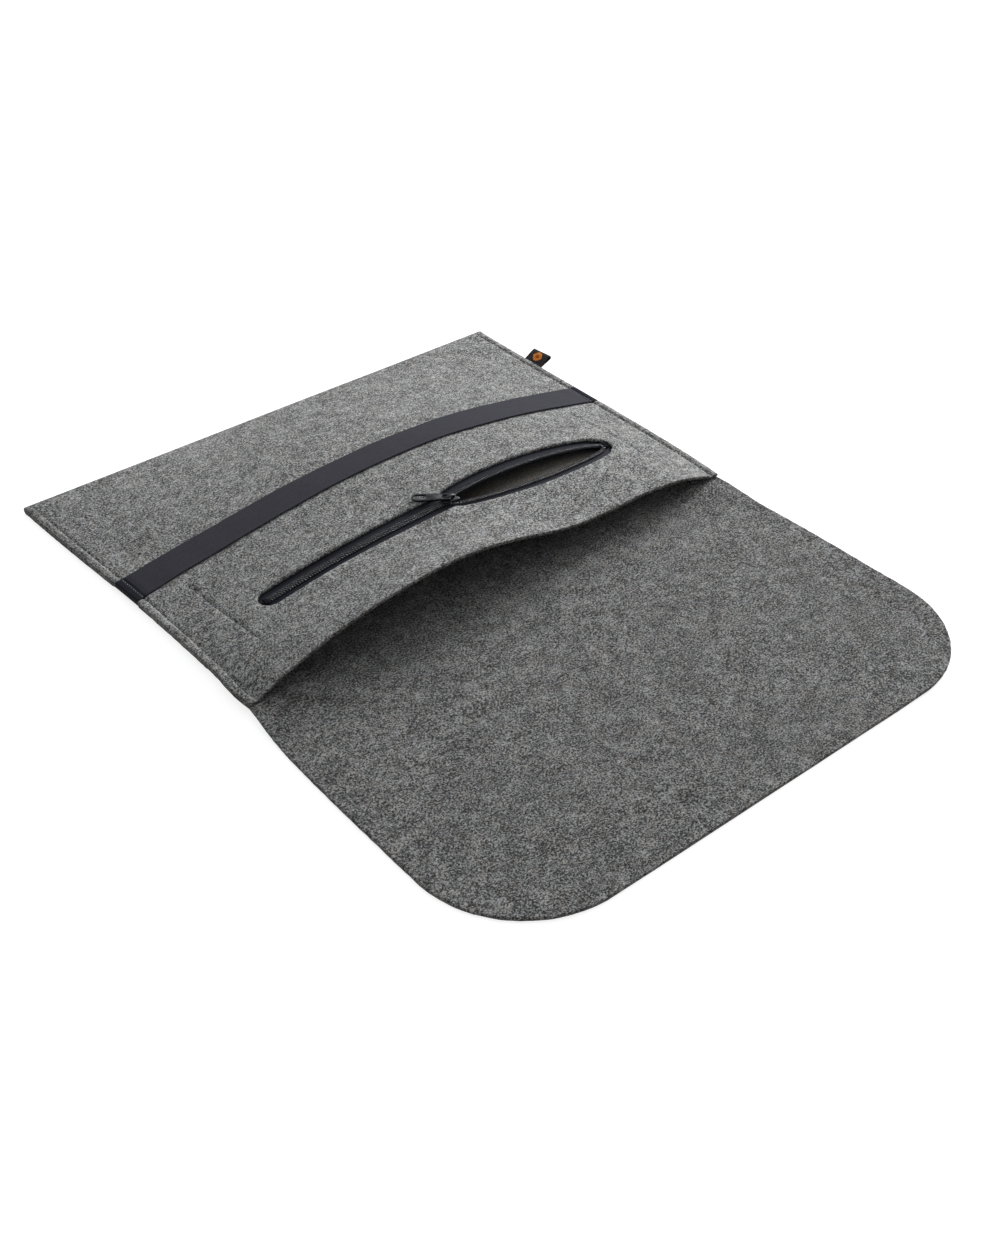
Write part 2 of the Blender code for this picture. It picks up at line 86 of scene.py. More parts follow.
# ---- the felt's relief: waves as (length, height, seed), then sewing and cut edges
WAVES = ((0.060, 0.00065, 0), (0.021, 0.00026, 7), (0.0062, 0.00009, 13))
UNDERSIDE_SEED = 2
FRONT_SEED = 3
LINING_SEED = 4
BACK_SEED = 5
TAPE_SEED = 6
FLAP_SEED = 9
SWELL_REACH = 0.030
EDGE_WAVE_SHARE = 0.25
BACK_SWELL_REACH = 0.020
BACK_WAVE_SHARE = 0.4
THINNEST_FELT = 0.0008
UNDERSIDE_RELIEF = 0.00012
UNDERSIDE_RELIEF_LENGTH = 0.02
RIDGE_HEIGHT = 0.00035
RIDGE_INSET = 0.0028
RIDGE_WIDTH = 0.0019
SEAM_GROOVE_DEPTH = 0.00085
SEAM_GROOVE_WIDTH = 0.0011
EDGE_PRESS = 0.0005
EDGE_PRESS_REACH = 0.0062
BAND_PRESS = 0.0009
BAND_PRESS_FADE = (0.0022, 0.0005)
BAND_PRESS_REACH = (0.0110, 0.0060)
EDGE_DRAW = 0.0014
EDGE_DRAW_FADE = (0.0016, 0.0004)
EDGE_DRAW_REACH = 0.0060
SEWN_START = 0.004
BACK_EDGE_SHARE = 0.6
BACK_BAND_SHARE = 0.8
FOLD_FADE = 0.012
LINE_GROOVE_DEPTH = 0.0008
LINE_GROOVE_WIDTH = 0.0012
LINE_FADE = 0.003
CUT_SOFTNESS = 0.00042
CUT_RAGGEDNESS = 0.00030
RAG_LENGTH = 0.0011

# ---- the flap
JOIN_V = -0.027
FLAP_LENGTH = 0.236
FLAP_CORNER_RADIUS = 0.072
FLAP_CURL = 0.0010
FLAP_CURL_REACH = 0.030
FLAP_CURL_LENGTH = 0.05
FLAP_CALM_LENGTH = 0.040

# ---- the zip
ZIP_V = 0.065
SLOT_LEFT_X = -0.143
SLOT_RIGHT_X = 0.150
SLOT_HALF = 0.009
LENS_START_X = 0.005
LENS_END_X = 0.143
LENS_UPPER = 0.008
LENS_LOWER = 0.012
LENS_SAG = 0.0009
TAPE_THICKNESS = 0.0006
TAPE_WIDTH = 0.015
TAPE_OVERRUN = 0.006
TAPE_ROWS = (0.0002, 0.0009, 0.0017, 0.0024, 0.0029, 0.0034, 0.0040, 0.0050, 0.0068, 0.0090, 0.0120)
TAPE_SOFTNESS = 0.00012
TAPE_SHOWN = 0.0085
TAPE_HIDDEN = 0.0100
TAPE_RIPPLE = 0.00022
TAPE_RIPPLE_CREST = 0.0001
TAPE_RIPPLE_LENGTH = 0.016
TAPE_RIPPLE_WIDTH = 0.008
TAPE_RIB = 0.00022
TAPE_RIB_OFFSET = 0.0034
TAPE_RIB_WIDTH = 0.0006
COIL_RADIUS = 0.0008
COIL_OFFSET = 0.00125
COIL_HALF_WIDTH = 0.00130
COIL_WIRE = 0.00038
COIL_PITCH = 0.0019
COIL_END_INSET = 0.006
TURN_POINTS = 12
STOP_OFFSET = 0.00165
STOP_WIDTH = 0.0030
STOP_BOTTOM_WIDTH = 0.0050
STOP_HEIGHT = 0.0018
JAW_LENGTH = 0.00115
JAW_STARTS = (-0.0013, 0.00015)
STOP_CORE_LENGTH = 0.0022
STOP_CORE_HEIGHT = 0.0014
STOP_CORE_INSET = 0.0002

# ---- the slider and the pull, whose two holes are (start, end, half height)
SLIDER_X = 0.006
SLIDER_LENGTH = 0.0120
SLIDER_WIDTH = 0.0094
PLATE_BEVEL = 0.00028
FLANGE_BEVEL = 0.00018
WEDGE_BEVEL = 0.00010
METAL_BEVEL = 0.00030
PLATE = 0.0010
FLANGE_THICKNESS = 0.0007
FLANGE_START = 0.0006
FLANGE_END = 0.0044
WEDGE_START = 0.0032
WEDGE_END = 0.0050
WEDGE_HALF = 0.0008
CROWN_HALF_LENGTH = 0.0036
CROWN_RISE = 0.0021
CROWN_ROUNDNESS = 0.45
CROWN_WIRE = 0.00070
CROWN_BREADTH = 1.7
PULL_YAW = radians(145)
PULL_LENGTH = 0.0250
PULL_THICKNESS = 0.0012
PULL_NARROW = 0.0031
PULL_FLARE = 0.0009
PULL_TIP = PULL_NARROW + PULL_FLARE
PULL_SPLIT = 0.0100
PULL_POINTS = 12
PULL_EYE = (0.0006, 0.0052, 0.0023)
PULL_WINDOW = (0.0146, 0.0238, 0.0028)

# ---- the pocket, the band and the label, whose marks are (half length, half width, height)
POCKET_HALF = 0.172
POCKET_FRONT_V = 0.036
POCKET_BACK_V = 0.119
POCKET_DEPTH = 0.0095
POCKET_FELT = 0.0015
LINING_SOFTNESS = 0.0003
DENT_DEPTH = 0.0008
DENT_LENGTH = 0.030
DENT_WIDTH = 0.018
POCKET_MARGIN = 0.004
POCKET_SLOPE = 0.020
POCKET_ROUNDNESS = 0.8
POCKET_LINE = 0.164
BAND_START_V = 0.1295
BAND_WIDTH = 0.025
BAND_MIDDLE_V = BAND_START_V + BAND_WIDTH / 2
BAND_BOW = 0.0024
BAND_THICKNESS = 0.0009
BAND_RIBS = 25
BAND_RIB_HEIGHT = 0.00008
BAND_HOVER = 0.0004
BAND_HOVER_REACH = 0.030
BAND_SOFTNESS = 0.00018
ANCHOR_LEG = 0.0085
ANCHOR_OVERLAP = 0.0030
ANCHOR_FOLD_RADIUS = 0.0014
ANCHOR_EDGE = 0.0002
ANCHOR_THICKNESS = 0.95 * BAND_THICKNESS
LABEL_V = 0.1955
LABEL_WIDTH = 0.018
LABEL_LENGTH = 0.0135
LABEL_TILT = radians(30)
LABEL_THICKNESS = 0.0006
LABEL_SOFTNESS = 0.0001
LABEL_ROOT = 0.00045
LABEL_SWELL = 0.00095
LABEL_CURL = 0.0012
LABEL_IN_SEAM = 0.0008
MARK_OUTER = (0.0042, 0.0047, 0.00012)
MARK_MIDDLE = (0.0017, 0.0018, 0.00030)
MARK_ROUNDNESS = 0.55
MARK_SHARE = 0.58
MARK_PITCH = 0.00055
MARK_WIRE = 0.00032

# ---- sewing
SEAM_INSET = 0.0055
STITCH_LENGTH = 0.0031
STITCH_PITCH = 0.0043
STITCH_SINK = 0.00045
SEAM_WIRE = 0.00030
POCKET_WIRE = 0.00024
BAND_STITCH_WIRE = 0.00028
BAND_STITCH_LENGTH = 0.0017
BAND_STITCH_PITCH = 0.0024
BAND_STITCH_INSET = 0.0016

# ---- mesh detail; the rings down a cut edge are (share of the thickness, reach outwards)
TINY = 1e-9
MERGE_DISTANCE = 1e-7
CUT_RINGS = ((0.16, 0.0), (0.5, 0.35), (0.84, 0.0))
COLUMN_STEP = 0.0031
ROW_STEP = 0.0031
MOUTH_ROWS = [0.0, 0.0012]
SECOND_STRETCH_V = 0.0026
FOLD_STEP = 0.0008
SPINE_STEP = 0.0018
BEND_END_V = -0.075
BEND_STEP = 0.0020
CORNER_ROWS = 34
LINING_ROW_STEP = 0.0025
LINING_COLUMN_STEP = 0.0030
TAPE_STEP = 0.0016
BAND_STEP = 0.0022
EDGE_COLUMNS = (0.0, 0.0012, 0.0024, 0.0034, 0.0042, 0.0049, 0.0055, 0.0061, 0.0068, 0.0080, 0.0100, 0.0125)
MIDDLE_REACH = BODY_WIDTH / 2 - EDGE_COLUMNS[-1]
LINE_COLUMNS = (-0.0020, -0.0011, 0.0, 0.0011, 0.0020)
PATCH_START_V = 0.034
PATCH_END_V = 0.094
RIM_POINTS = 190
RIM_END_POINTS = 20
RIM_CLEARANCE = 0.0014
SHARP_EDGE = radians(62)
SHARP_METAL_EDGE = radians(50)


# ---- shape rules

def smooth(start, end, value):
    """Rise smoothly from 0 at start to 1 at end."""
    t = min(max((value - start) / (end - start), 0.0), 1.0)
    return t * t * (3 - 2 * t)


def span(start, end, count):
    return [start + (end - start) * i / (count - 1) for i in range(count)]


def steps(start, end, step):
    return span(start, end, max(2, round(abs(end - start) / step) + 1))


def to_y(v):
    return v - BODY_DEPTH / 2


def bell(value, width):
    return exp(-(value / width) ** 2)


def half_width(v):
    return BODY_WIDTH / 2 - MOUTH_DRAW_IN * exp(-abs(v) / MOUTH_DRAW_IN_LENGTH)


def at(x, v, z):
    """A point of the pouch, whose left edge the load inside draws inwards."""
    pull = LEFT_DRAW_IN * bell(v - LEFT_DRAW_V, LEFT_DRAW_LENGTH) * smooth(0, MOUTH_DRAW_IN_LENGTH, v)
    return (x + pull * smooth(LEFT_DRAW_START_X, -BODY_WIDTH / 2, x), to_y(v), z)


def seam_lift(v):
    """How far the side edges are off the table; in front of the mouth they fall back to it."""
    if v < 0:
        return SEAM_LIFT * (1 - smooth(0, CORNER_FALL, -v)) ** 1.3
    return SEAM_LIFT * (1 - min(v / BODY_DEPTH, 1.0)) ** 1.5


def wave(x, y, seed):
    """The felt's slight unevenness, from broad swells to small dents."""
    total = 0.0
    for length, height, more in WAVES:
        total += height * noise.noise((x / length, y / length, seed + more))
    return total


def underside_relief(x, v):
    place = (x / UNDERSIDE_RELIEF_LENGTH, v / UNDERSIDE_RELIEF_LENGTH, UNDERSIDE_SEED)
    return UNDERSIDE_RELIEF * (1 + noise.noise(place))


def seam_relief(inset):
    """The stitch groove and the ridge that it leaves along the edge."""
    ridge = RIDGE_HEIGHT * bell(inset - RIDGE_INSET, RIDGE_WIDTH)
    return ridge - SEAM_GROOVE_DEPTH * bell(inset - SEAM_INSET, SEAM_GROOVE_WIDTH)


def edge_press(inset):
    """How far sewing has pressed the felt's outer face down towards the edge."""
    return EDGE_PRESS * smooth(EDGE_PRESS_REACH, 0.0, inset)


def under_band(v, outside, inside):
    """1 under the band; it falls to 0 from inside the band's edge to outside it."""
    return smooth(BAND_WIDTH / 2 + outside, BAND_WIDTH / 2 - inside, abs(v - BAND_MIDDLE_V))


def band_press(x, v):
    """The band's sewn ends squeeze the seam under them."""
    inset = half_width(v) - abs(x)
    return BAND_PRESS * under_band(v, *BAND_PRESS_FADE) * smooth(*BAND_PRESS_REACH, inset)


def back_bottom(x, v):
    return seam_lift(v) * smooth(LIFT_INNER_X, half_width(v) - SEAM_MARGIN, abs(x))


def panel_top(x, v):
    """Outer face of the arched front panel, without its fine relief."""
    depth = min(max(v / BODY_DEPTH, 0.0), 1.0)
    u = min(max(x / (half_width(v) - SEAM_MARGIN), -1.0), 1.0)
    rise = ARCH_HEIGHT * (1 - depth ** 3) + MOUTH_RISE * bell(v, MOUTH_RISE_LENGTH)
    roundness = MOUTH_ROUNDNESS + ADDED_ROUNDNESS * smooth(ROUNDING_START_V, ROUNDING_END_V, v)
    lean = MOUTH_LEAN + ADDED_LEAN * smooth(0, LEAN_END_V, v)
    arch = rise * (1 - u * u) ** roundness * (1 + lean * u)
    dip = DIP_DEPTH * bell(x - DIP_X, DIP_WIDTH) * bell(v, DIP_LENGTH) * (1 - u * u)
    return SEAM_TOP + seam_lift(max(v, 0.0)) + arch - dip


def lens(x):
    """Share of the zip's full opening at x: 0 where it is closed."""
    t = (x - LENS_START_X) / (LENS_END_X - LENS_START_X)
    return sin(pi * t) ** 0.5 if 0 < t < 1 else 0.0


def opening(side):
    return LENS_UPPER if side > 0 else LENS_LOWER


def lip(x, side):
    return side * opening(side) * lens(x)


def under_felt(x, v):
    return panel_top(x, v) - FELT - GAP


def pocket_top(x, v):
    """Inner face of the pocket backing, which hangs below the front panel like a shallow bag."""
    across = max(1 - (x / (POCKET_HALF - POCKET_MARGIN)) ** 2, 0.0) ** POCKET_ROUNDNESS
    from_edge = min(v - POCKET_FRONT_V, POCKET_BACK_V - v) - POCKET_MARGIN
    along = smooth(0, POCKET_SLOPE, from_edge)
    return under_felt(x, v) - POCKET_DEPTH * across * along


# ---- mesh helpers

def add_object(name, data):
    made = bpy.data.objects.new(name, data)
    bpy.context.scene.collection.objects.link(made)
    return made


def add_mesh(name, points, faces, look, inner_look=None, inner_faces=()):
    mesh = bpy.data.meshes.new(name)
    mesh.from_pydata([tuple(p) for p in points], [], faces)
    mesh.materials.append(look)
    if inner_look:
        mesh.materials.append(inner_look)
        for i in inner_faces:
            mesh.polygons[i].material_index = 1
    mesh.shade_smooth()
    mesh.set_sharp_from_angle(angle=SHARP_EDGE)
    return add_object(name, mesh)


def settle(piece, slot, body, *nodes):
    """Hangs a piece on the body that carries it and hides the solids it stands for; slot is not used."""
    if nodes:
        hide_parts(*nodes)
    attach(piece, body)


def grid_faces(rows, columns, first=0):
    faces = []
    for r in range(rows - 1):
        for c in range(columns - 1):
            a = first + r * columns + c
            faces.append((a, a + 1, a + columns + 1, a + columns))
    return faces


def boundary(faces):
    """Directed edges that only one face uses."""
    edges = {}
    for face in faces:
        for a, b in zip(face, face[1:] + face[:1]):
            if (b, a) in edges:
                del edges[(b, a)]
            else:
                edges[(a, b)] = True
    return list(edges)


def rim_pushes(outer, inner, edges, plain):
    """Unit directions away from the sheet at the points of its rim, and zero at the plain ones."""
    push = {}
    for a, b in edges:
        away = np.cross(outer[b] - outer[a], outer[a] - inner[a])
        away /= max(np.linalg.norm(away), TINY)
        for end in (a, b):
            push[end] = push.get(end, 0) + away
    for i, away in push.items():
        push[i] = away / max(np.linalg.norm(away), TINY) * (0 if i in plain else 1)
    return push


def thick_sheet(name, layers, faces, look, softness, ragged=0.0, plain=(), inner_look=None, unshaded=()):
    """A closed sheet through pairs of outer and inner points, with rounded cut edges all round.

    The points in plain are where the sheet meets its neighbour, and stay as they are.
    A point attribute marks the cut edges for painted shade, except those through the given unshaded points.
    """
    outer, inner = np.array(layers, float).transpose(1, 0, 2)
    edges = boundary(faces)
    push = rim_pushes(outer, inner, edges, plain)
    rim = sorted(push)
    for i in rim:
        shift = ragged * noise.noise(outer[i] / RAG_LENGTH) * push[i]
        outer[i] += shift
        inner[i] += shift
    rings = []
    for depth, reach in CUT_RINGS:
        rings.append([outer[i] * (1 - depth) + inner[i] * depth + push[i] * softness * reach for i in rim])
    for i in rim:
        outer[i] -= push[i] * softness
        inner[i] -= push[i] * softness
    count = len(outer)
    layers = [{i: i for i in rim}]
    for number in range(len(rings)):
        start = 2 * count + number * len(rim)
        layers.append({i: start + k for k, i in enumerate(rim)})
    layers.append({i: i + count for i in rim})
    made = list(faces) + [tuple(i + count for i in reversed(face)) for face in faces]
    for a, b in edges:
        for upper, lower in zip(layers, layers[1:]):
            made.append((upper[b], upper[a], lower[a], lower[b]))
    points = np.vstack([outer, inner] + [np.array(ring) for ring in rings])
    inner_faces = range(len(faces), 2 * len(faces))
    sheet = add_mesh(name, points, made, look, inner_look=inner_look, inner_faces=inner_faces)
    # Painted shade: the rings down each cut edge are marked 1, so that the felt's colour darkens there to
    # stand in for the shade on its side faces.
    painted_edge_shade = [0.0] * (2 * count) + [0.0 if i in unshaded else 1.0 for _ in rings for i in rim]
    sheet.data.attributes.new("painted_edge_shade", "FLOAT", "POINT").data.foreach_set("value", painted_edge_shade)
    return sheet


def tube_mesh(name, paths, radius, look, sides=6, across_to=(0, 0, 1)):
    """Round wires along the paths, with closed ends; no path may run along across_to."""
    points = []
    faces = []
    for path in paths:
        path = np.array(path, float)
        ahead = np.gradient(path, axis=0)
        ahead /= np.linalg.norm(ahead, axis=1)[:, None]
        side = np.cross(ahead, across_to)
        side /= np.linalg.norm(side, axis=1)[:, None]
        up = np.cross(side, ahead)
        first = len(points)
        for centre, s, u in zip(path, side, up):
            for k in range(sides):
                angle = 2 * pi * k / sides
                points.append(centre + radius * (cos(angle) * s + sin(angle) * u))
        for r in range(len(path) - 1):
            for k in range(sides):
                a = first + r * sides + k
                b = first + r * sides + (k + 1) % sides
                faces.append((a, b, b + sides, a + sides))
        faces.append(tuple(first + k for k in reversed(range(sides))))
        last = first + (len(path) - 1) * sides
        faces.append(tuple(last + k for k in range(sides)))
    return add_mesh(name, points, faces, look)


def inside_loop(points, loop):
    """Which of the points lie inside the closed loop."""
    points = np.array(points, float)
    inside = np.zeros(len(points), bool)
    for (ax, ay), (bx, by) in zip(loop, loop[1:] + loop[:1]):
        crosses = (ay > points[:, 1]) != (by > points[:, 1])
        reach = (bx - ax) * (points[:, 1] - ay) / ((by - ay) or 1e-12) + ax
        inside ^= crosses & (points[:, 0] < reach)
    return inside


# ---- felt pieces

def across(half):
    """Column positions across the body, close together at the seams and at the pocket's sewing."""
    edge = [-half + inset for inset in EDGE_COLUMNS]
    even = steps(-MIDDLE_REACH, MIDDLE_REACH, COLUMN_STEP)[1:-1]
    middle = [x for x in even if abs(abs(x) - POCKET_LINE) > COLUMN_STEP]
    middle += [side * (POCKET_LINE + offset) for side in (-1, 1) for offset in LINE_COLUMNS]
    inner = half - EDGE_COLUMNS[-1]
    return edge + [x * inner / MIDDLE_REACH for x in sorted(middle)] + [-x for x in reversed(edge)]


def pocket_line(v):
    """How far out the pocket's sewing runs."""
    return POCKET_LINE * (half_width(v) - EDGE_COLUMNS[-1]) / MIDDLE_REACH


def pocket_groove(x, v):
    """The furrow that the pocket's sewing pulls into the front panel."""
    ends = smooth(POCKET_FRONT_V - LINE_FADE, POCKET_FRONT_V + MM, v)
    ends *= smooth(POCKET_BACK_V + LINE_FADE, POCKET_BACK_V - MM, v)
    return LINE_GROOVE_DEPTH * ends * bell(abs(x) - pocket_line(v), LINE_GROOVE_WIDTH)


def edge_draw(x, v):
    """How far the band's sewn ends pull the felt's side edge in under them."""
    inset = half_width(v) - abs(x)
    return EDGE_DRAW * under_band(v, *EDGE_DRAW_FADE) * smooth(EDGE_DRAW_REACH, 0.0, inset)


def strip_v(t):
    """Distance from the mouth line at t along the strip of felt."""
    if t <= FRONT_LENGTH:
        return t
    if t <= FRONT_LENGTH + FOLD_LENGTH:
        return FRONT_LENGTH
    return 2 * FRONT_LENGTH + FOLD_LENGTH - t


def strip_points(x, t):
    """The strip's outer and inner face at t along it: front panel, fold, back panel, spine."""
    v = strip_v(t)
    inset = half_width(v) - abs(x)
    shown_x = x - copysign(edge_draw(x, v), x)
    if t <= FRONT_LENGTH:
        level = panel_top(x, v) - pocket_groove(x, v)
        fade = 1 - smooth(FRONT_LENGTH - FOLD_FADE, FRONT_LENGTH, v)
        unevenness = wave(x, v, FRONT_SEED)
        swell = smooth(0, SWELL_REACH, inset)
        inner = level - FELT
        share = EDGE_WAVE_SHARE + (1 - EDGE_WAVE_SHARE) * swell
        level += unevenness * fade * share + seam_relief(inset) * fade
        level -= (edge_press(inset) + band_press(x, v)) * fade
        inner = min(inner + unevenness * fade * swell, level - THINNEST_FELT)
        return at(shown_x, v, level), at(shown_x, v, inner)
    if t <= FRONT_LENGTH + FOLD_LENGTH:
        angle = (t - FRONT_LENGTH) / FOLD_RADIUS
        radii = (FOLD_RADIUS, FOLD_RADIUS - FELT)
        fold_x, y, _ = at(x, FRONT_LENGTH, 0)
        return [(fold_x, y + radius * sin(angle), FOLD_RADIUS + radius * cos(angle)) for radius in radii]
    bottom = back_bottom(x, v)
    top = bottom + FELT + BACK_WAVE_SHARE * wave(x, v, BACK_SEED) * smooth(0, BACK_SWELL_REACH, inset)
    bottom += underside_relief(x, v)
    sewn = smooth(0, SEWN_START, v) * (1 - smooth(FRONT_LENGTH - FOLD_FADE, FRONT_LENGTH, v))
    bottom += (BACK_EDGE_SHARE * edge_press(inset) + BACK_BAND_SHARE * band_press(x, v)) * sewn
    return at(shown_x, v, bottom), at(shown_x, v, top)


def slot_loop():
    """The zip slot's rim, anticlockwise, as (x, v)."""
    left = SLOT_LEFT_X + SLOT_HALF
    right = SLOT_RIGHT_X - SLOT_HALF
    loop = []
    for side, start, end in ((1, right, left), (-1, left, right)):
        for x in span(start, end, RIM_POINTS):
            loop.append((x, ZIP_V + side * SLOT_HALF + lip(x, side)))
        for angle in span(0, pi, RIM_END_POINTS)[1:-1]:
            x = end - side * SLOT_HALF * sin(angle)
            bow = opening(side * cos(angle)) * lens(x)
            loop.append((x, ZIP_V + side * (SLOT_HALF + bow) * cos(angle)))
    return loop


def slot_patch(points, rows):
    """Triangles round the zip slot, between the given rows of the strip."""
    loop = slot_loop()
    rim = np.array(loop)
    flat = np.array([points[i] for i in rows])
    apart = np.full(len(flat), 1.0)
    for place in rim:
        apart = np.minimum(apart, np.linalg.norm(flat - place, axis=1))
    keep = ~inside_loop(flat, loop) & (apart > RIM_CLEARANCE)
    kept = [i for i, wanted in zip(rows, keep) if wanted]
    first = len(points)
    source = kept + list(range(first, first + len(loop)))
    places = [Vector(points[i]) for i in kept] + [Vector(p) for p in loop]
    start = len(kept)
    ring = [(start + i, start + (i + 1) % len(loop)) for i in range(len(loop))]
    verts, _, faces, origins, _, _ = delaunay_2d_cdt(places, ring, [], 0, MERGE_DISTANCE)
    centres = [sum((verts[i] for i in face), Vector((0, 0))) / len(face) for face in faces]
    outside = ~inside_loop(centres, loop)
    patch = [tuple(source[origins[i][0]] for i in face) for face, wanted in zip(faces, outside) if wanted]
    return loop, patch


def make_pouch(look, inner_look):
    """Front panel, fold, back panel and the near half of the spine, one strip of felt."""
    stations = MOUTH_ROWS + steps(SECOND_STRETCH_V, PATCH_START_V, ROW_STEP)
    patch_first = len(stations) - 1
    stations += steps(PATCH_START_V, PATCH_END_V, ROW_STEP)[1:]
    patch_last = len(stations) - 1
    stations += steps(PATCH_END_V, FRONT_LENGTH, ROW_STEP)[1:]
    stations += steps(FRONT_LENGTH, FRONT_LENGTH + FOLD_LENGTH, FOLD_STEP)[1:]
    mouth = 2 * FRONT_LENGTH + FOLD_LENGTH
    stations += steps(FRONT_LENGTH + FOLD_LENGTH, mouth, ROW_STEP)[1:]
    stations += steps(mouth, mouth - JOIN_V, SPINE_STEP)[1:]
    flat = []
    for t in stations:
        flat += [(x, t) for x in across(half_width(strip_v(t)))]
    columns = len(flat) // len(stations)
    faces = grid_faces(patch_first + 1, columns)
    faces += grid_faces(len(stations) - patch_last, columns, patch_last * columns)
    rows = list(range(patch_first * columns, (patch_last + 1) * columns))
    loop, patch = slot_patch(flat, rows)
    faces += patch
    flat += loop
    used = sorted({i for face in faces for i in face})
    renamed = {i: k for k, i in enumerate(used)}
    faces = [tuple(renamed[i] for i in face) for face in faces]
    layers = [strip_points(*flat[i]) for i in used]
    join = {renamed[(len(stations) - 1) * columns + c] for c in range(columns)}
    slot_rim = {renamed[i] for i in range(len(flat) - len(loop), len(flat))}
    # The zip slot's rim gets no painted edge shade.
    pouch = thick_sheet("pouch_felt", layers, faces, look, CUT_SOFTNESS, CUT_RAGGEDNESS, plain=join,
                        inner_look=inner_look, unshaded=slot_rim)
    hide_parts("back_panel", "bottom_fold", "front_panel")
    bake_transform(pouch)


def flap_half(v):
    """Half the flap's width: drawn in at the mouth, round at its two outer corners."""
    from_tip = FLAP_LENGTH + v
    if from_tip >= FLAP_CORNER_RADIUS:
        return half_width(v)
    short = FLAP_CORNER_RADIUS - from_tip
    return half_width(v) - FLAP_CORNER_RADIUS + (FLAP_CORNER_RADIUS ** 2 - short ** 2) ** 0.5


def flap_points(x, v):
    bottom = back_bottom(x, v)
    inset = flap_half(v) - abs(x)
    calm = smooth(0, FLAP_CALM_LENGTH, JOIN_V - v)
    share = 0.5 + 0.5 * noise.noise((x / FLAP_CURL_LENGTH, v / FLAP_CURL_LENGTH, FLAP_SEED))
    bottom += underside_relief(x, v) + FLAP_CURL * calm * smooth(FLAP_CURL_REACH, 0.0, inset) * share
    top = bottom + FELT + BACK_WAVE_SHARE * wave(x, v, BACK_SEED) * smooth(0, BACK_SWELL_REACH, inset)
    return (x, to_y(v), bottom), (x, to_y(v), top)


def make_flap(look, inner_look):
    straight = -FLAP_LENGTH + FLAP_CORNER_RADIUS
    stations = steps(JOIN_V, BEND_END_V, BEND_STEP) + steps(BEND_END_V, straight, ROW_STEP)[1:]
    for angle in span(pi / 2, 0, CORNER_ROWS)[1:]:
        stations.append(-FLAP_LENGTH + FLAP_CORNER_RADIUS * (1 - cos(angle)))
    flat = []
    for v in stations:
        flat += [(x, v) for x in across(flap_half(v))]
    columns = len(flat) // len(stations)
    faces = grid_faces(len(stations), columns)
    layers = [flap_points(x, v) for x, v in flat]
    flap = thick_sheet("flap_felt", layers, faces, look, CUT_SOFTNESS, CUT_RAGGEDNESS,
                       plain=range(columns), inner_look=inner_look)
    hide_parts("flap_spine", "flap")
    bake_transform(flap)


def sheet_grid(name, rows, thickness, look, softness, plain_column=None):
    """A grid whose points are its upper face, thickened downwards; rows run towards +Y."""
    layers = [((x, y, z), (x, y, z - thickness)) for row in rows for x, y, z in row]
    columns = len(rows[0])
    plain = () if plain_column is None else range(plain_column, len(layers), columns)
    return thick_sheet(name, layers, grid_faces(len(rows), columns), look, softness, plain=plain)


def make_pocket_lining(look):
    rows = []
    for v in steps(POCKET_FRONT_V, POCKET_BACK_V, LINING_ROW_STEP):
        row = []
        for x in steps(-POCKET_HALF, POCKET_HALF, LINING_COLUMN_STEP):
            hang = (under_felt(x, v) - pocket_top(x, v)) / POCKET_DEPTH
            dent = noise.noise((x / DENT_LENGTH, v / DENT_WIDTH, LINING_SEED))
            z = pocket_top(x, v) - TAPE_THICKNESS - GAP + DENT_DEPTH * hang * dent
            row.append(at(x, v, z))
        rows.append(row)
    lining = sheet_grid("pocket_lining", rows, POCKET_FELT, look, LINING_SOFTNESS)
    settle(lining, "lining", "sleeve", "pocket_backing")


# ---- the zip

def make_zip_tape(side, name, look):
    """A woven tape with a raised sewn rib beside the coil."""
    rows = []
    for offset in sorted((*TAPE_ROWS, TAPE_WIDTH), key=lambda offset: side * offset):
        row = []
        for x in steps(SLOT_LEFT_X - TAPE_OVERRUN, SLOT_RIGHT_X + TAPE_OVERRUN, TAPE_STEP):
            v = ZIP_V + lip(x, side) + side * offset
            hidden = smooth(TAPE_SHOWN, TAPE_HIDDEN, offset)
            sag = LENS_SAG * lens(x) * smooth(TAPE_HIDDEN, 0.0, offset)
            place = (x / TAPE_RIPPLE_LENGTH, offset / TAPE_RIPPLE_WIDTH, TAPE_SEED + side)
            ripple = min(TAPE_RIPPLE * noise.noise(place) * (1 - hidden), TAPE_RIPPLE_CREST)
            rib = TAPE_RIB * bell(offset - TAPE_RIB_OFFSET, TAPE_RIB_WIDTH)
            row.append((x, to_y(v), under_felt(x, v) - sag + ripple + rib))
        rows.append(row)
    tape = sheet_grid(name, rows, TAPE_THICKNESS, look, TAPE_SOFTNESS)
    settle(tape, "zip_tape", "sleeve", name.replace("woven", "zip"))


def coil_centre(x, side):
    v = ZIP_V + lip(x, side) + side * COIL_OFFSET
    return Vector((x, to_y(v), under_felt(x, v) + GAP + COIL_RADIUS - LENS_SAG * lens(x)))


def make_zip_coil(side, name, look):
    """The nylon coil: a flattened spring whose turns mesh with the other side's."""
    start = SLOT_LEFT_X + COIL_END_INSET
    end = SLOT_RIGHT_X - COIL_END_INSET
    turns = (end - start) / COIL_PITCH
    phase = 0.0 if side > 0 else 0.5
    path = []
    for k in range(int(turns * TURN_POINTS) + 1):
        turn = k / TURN_POINTS
        x = start + turn * COIL_PITCH
        centre = coil_centre(x, side)
        ahead = (coil_centre(x + MM, side) - centre).normalized()
        outward = Vector((-ahead.y, ahead.x, 0)).normalized()
        up = outward.cross(ahead) * -1
        angle = 2 * pi * (turn + phase)
        lift = COIL_RADIUS - COIL_WIRE
        path.append(centre + outward * COIL_HALF_WIDTH * cos(angle) + up * lift * sin(angle))
    coil = tube_mesh(name, [path], COIL_WIRE, look, across_to=(1, 0, 0))
    settle(coil, "zip_coil", "sleeve", name.replace("nylon", "zip"))


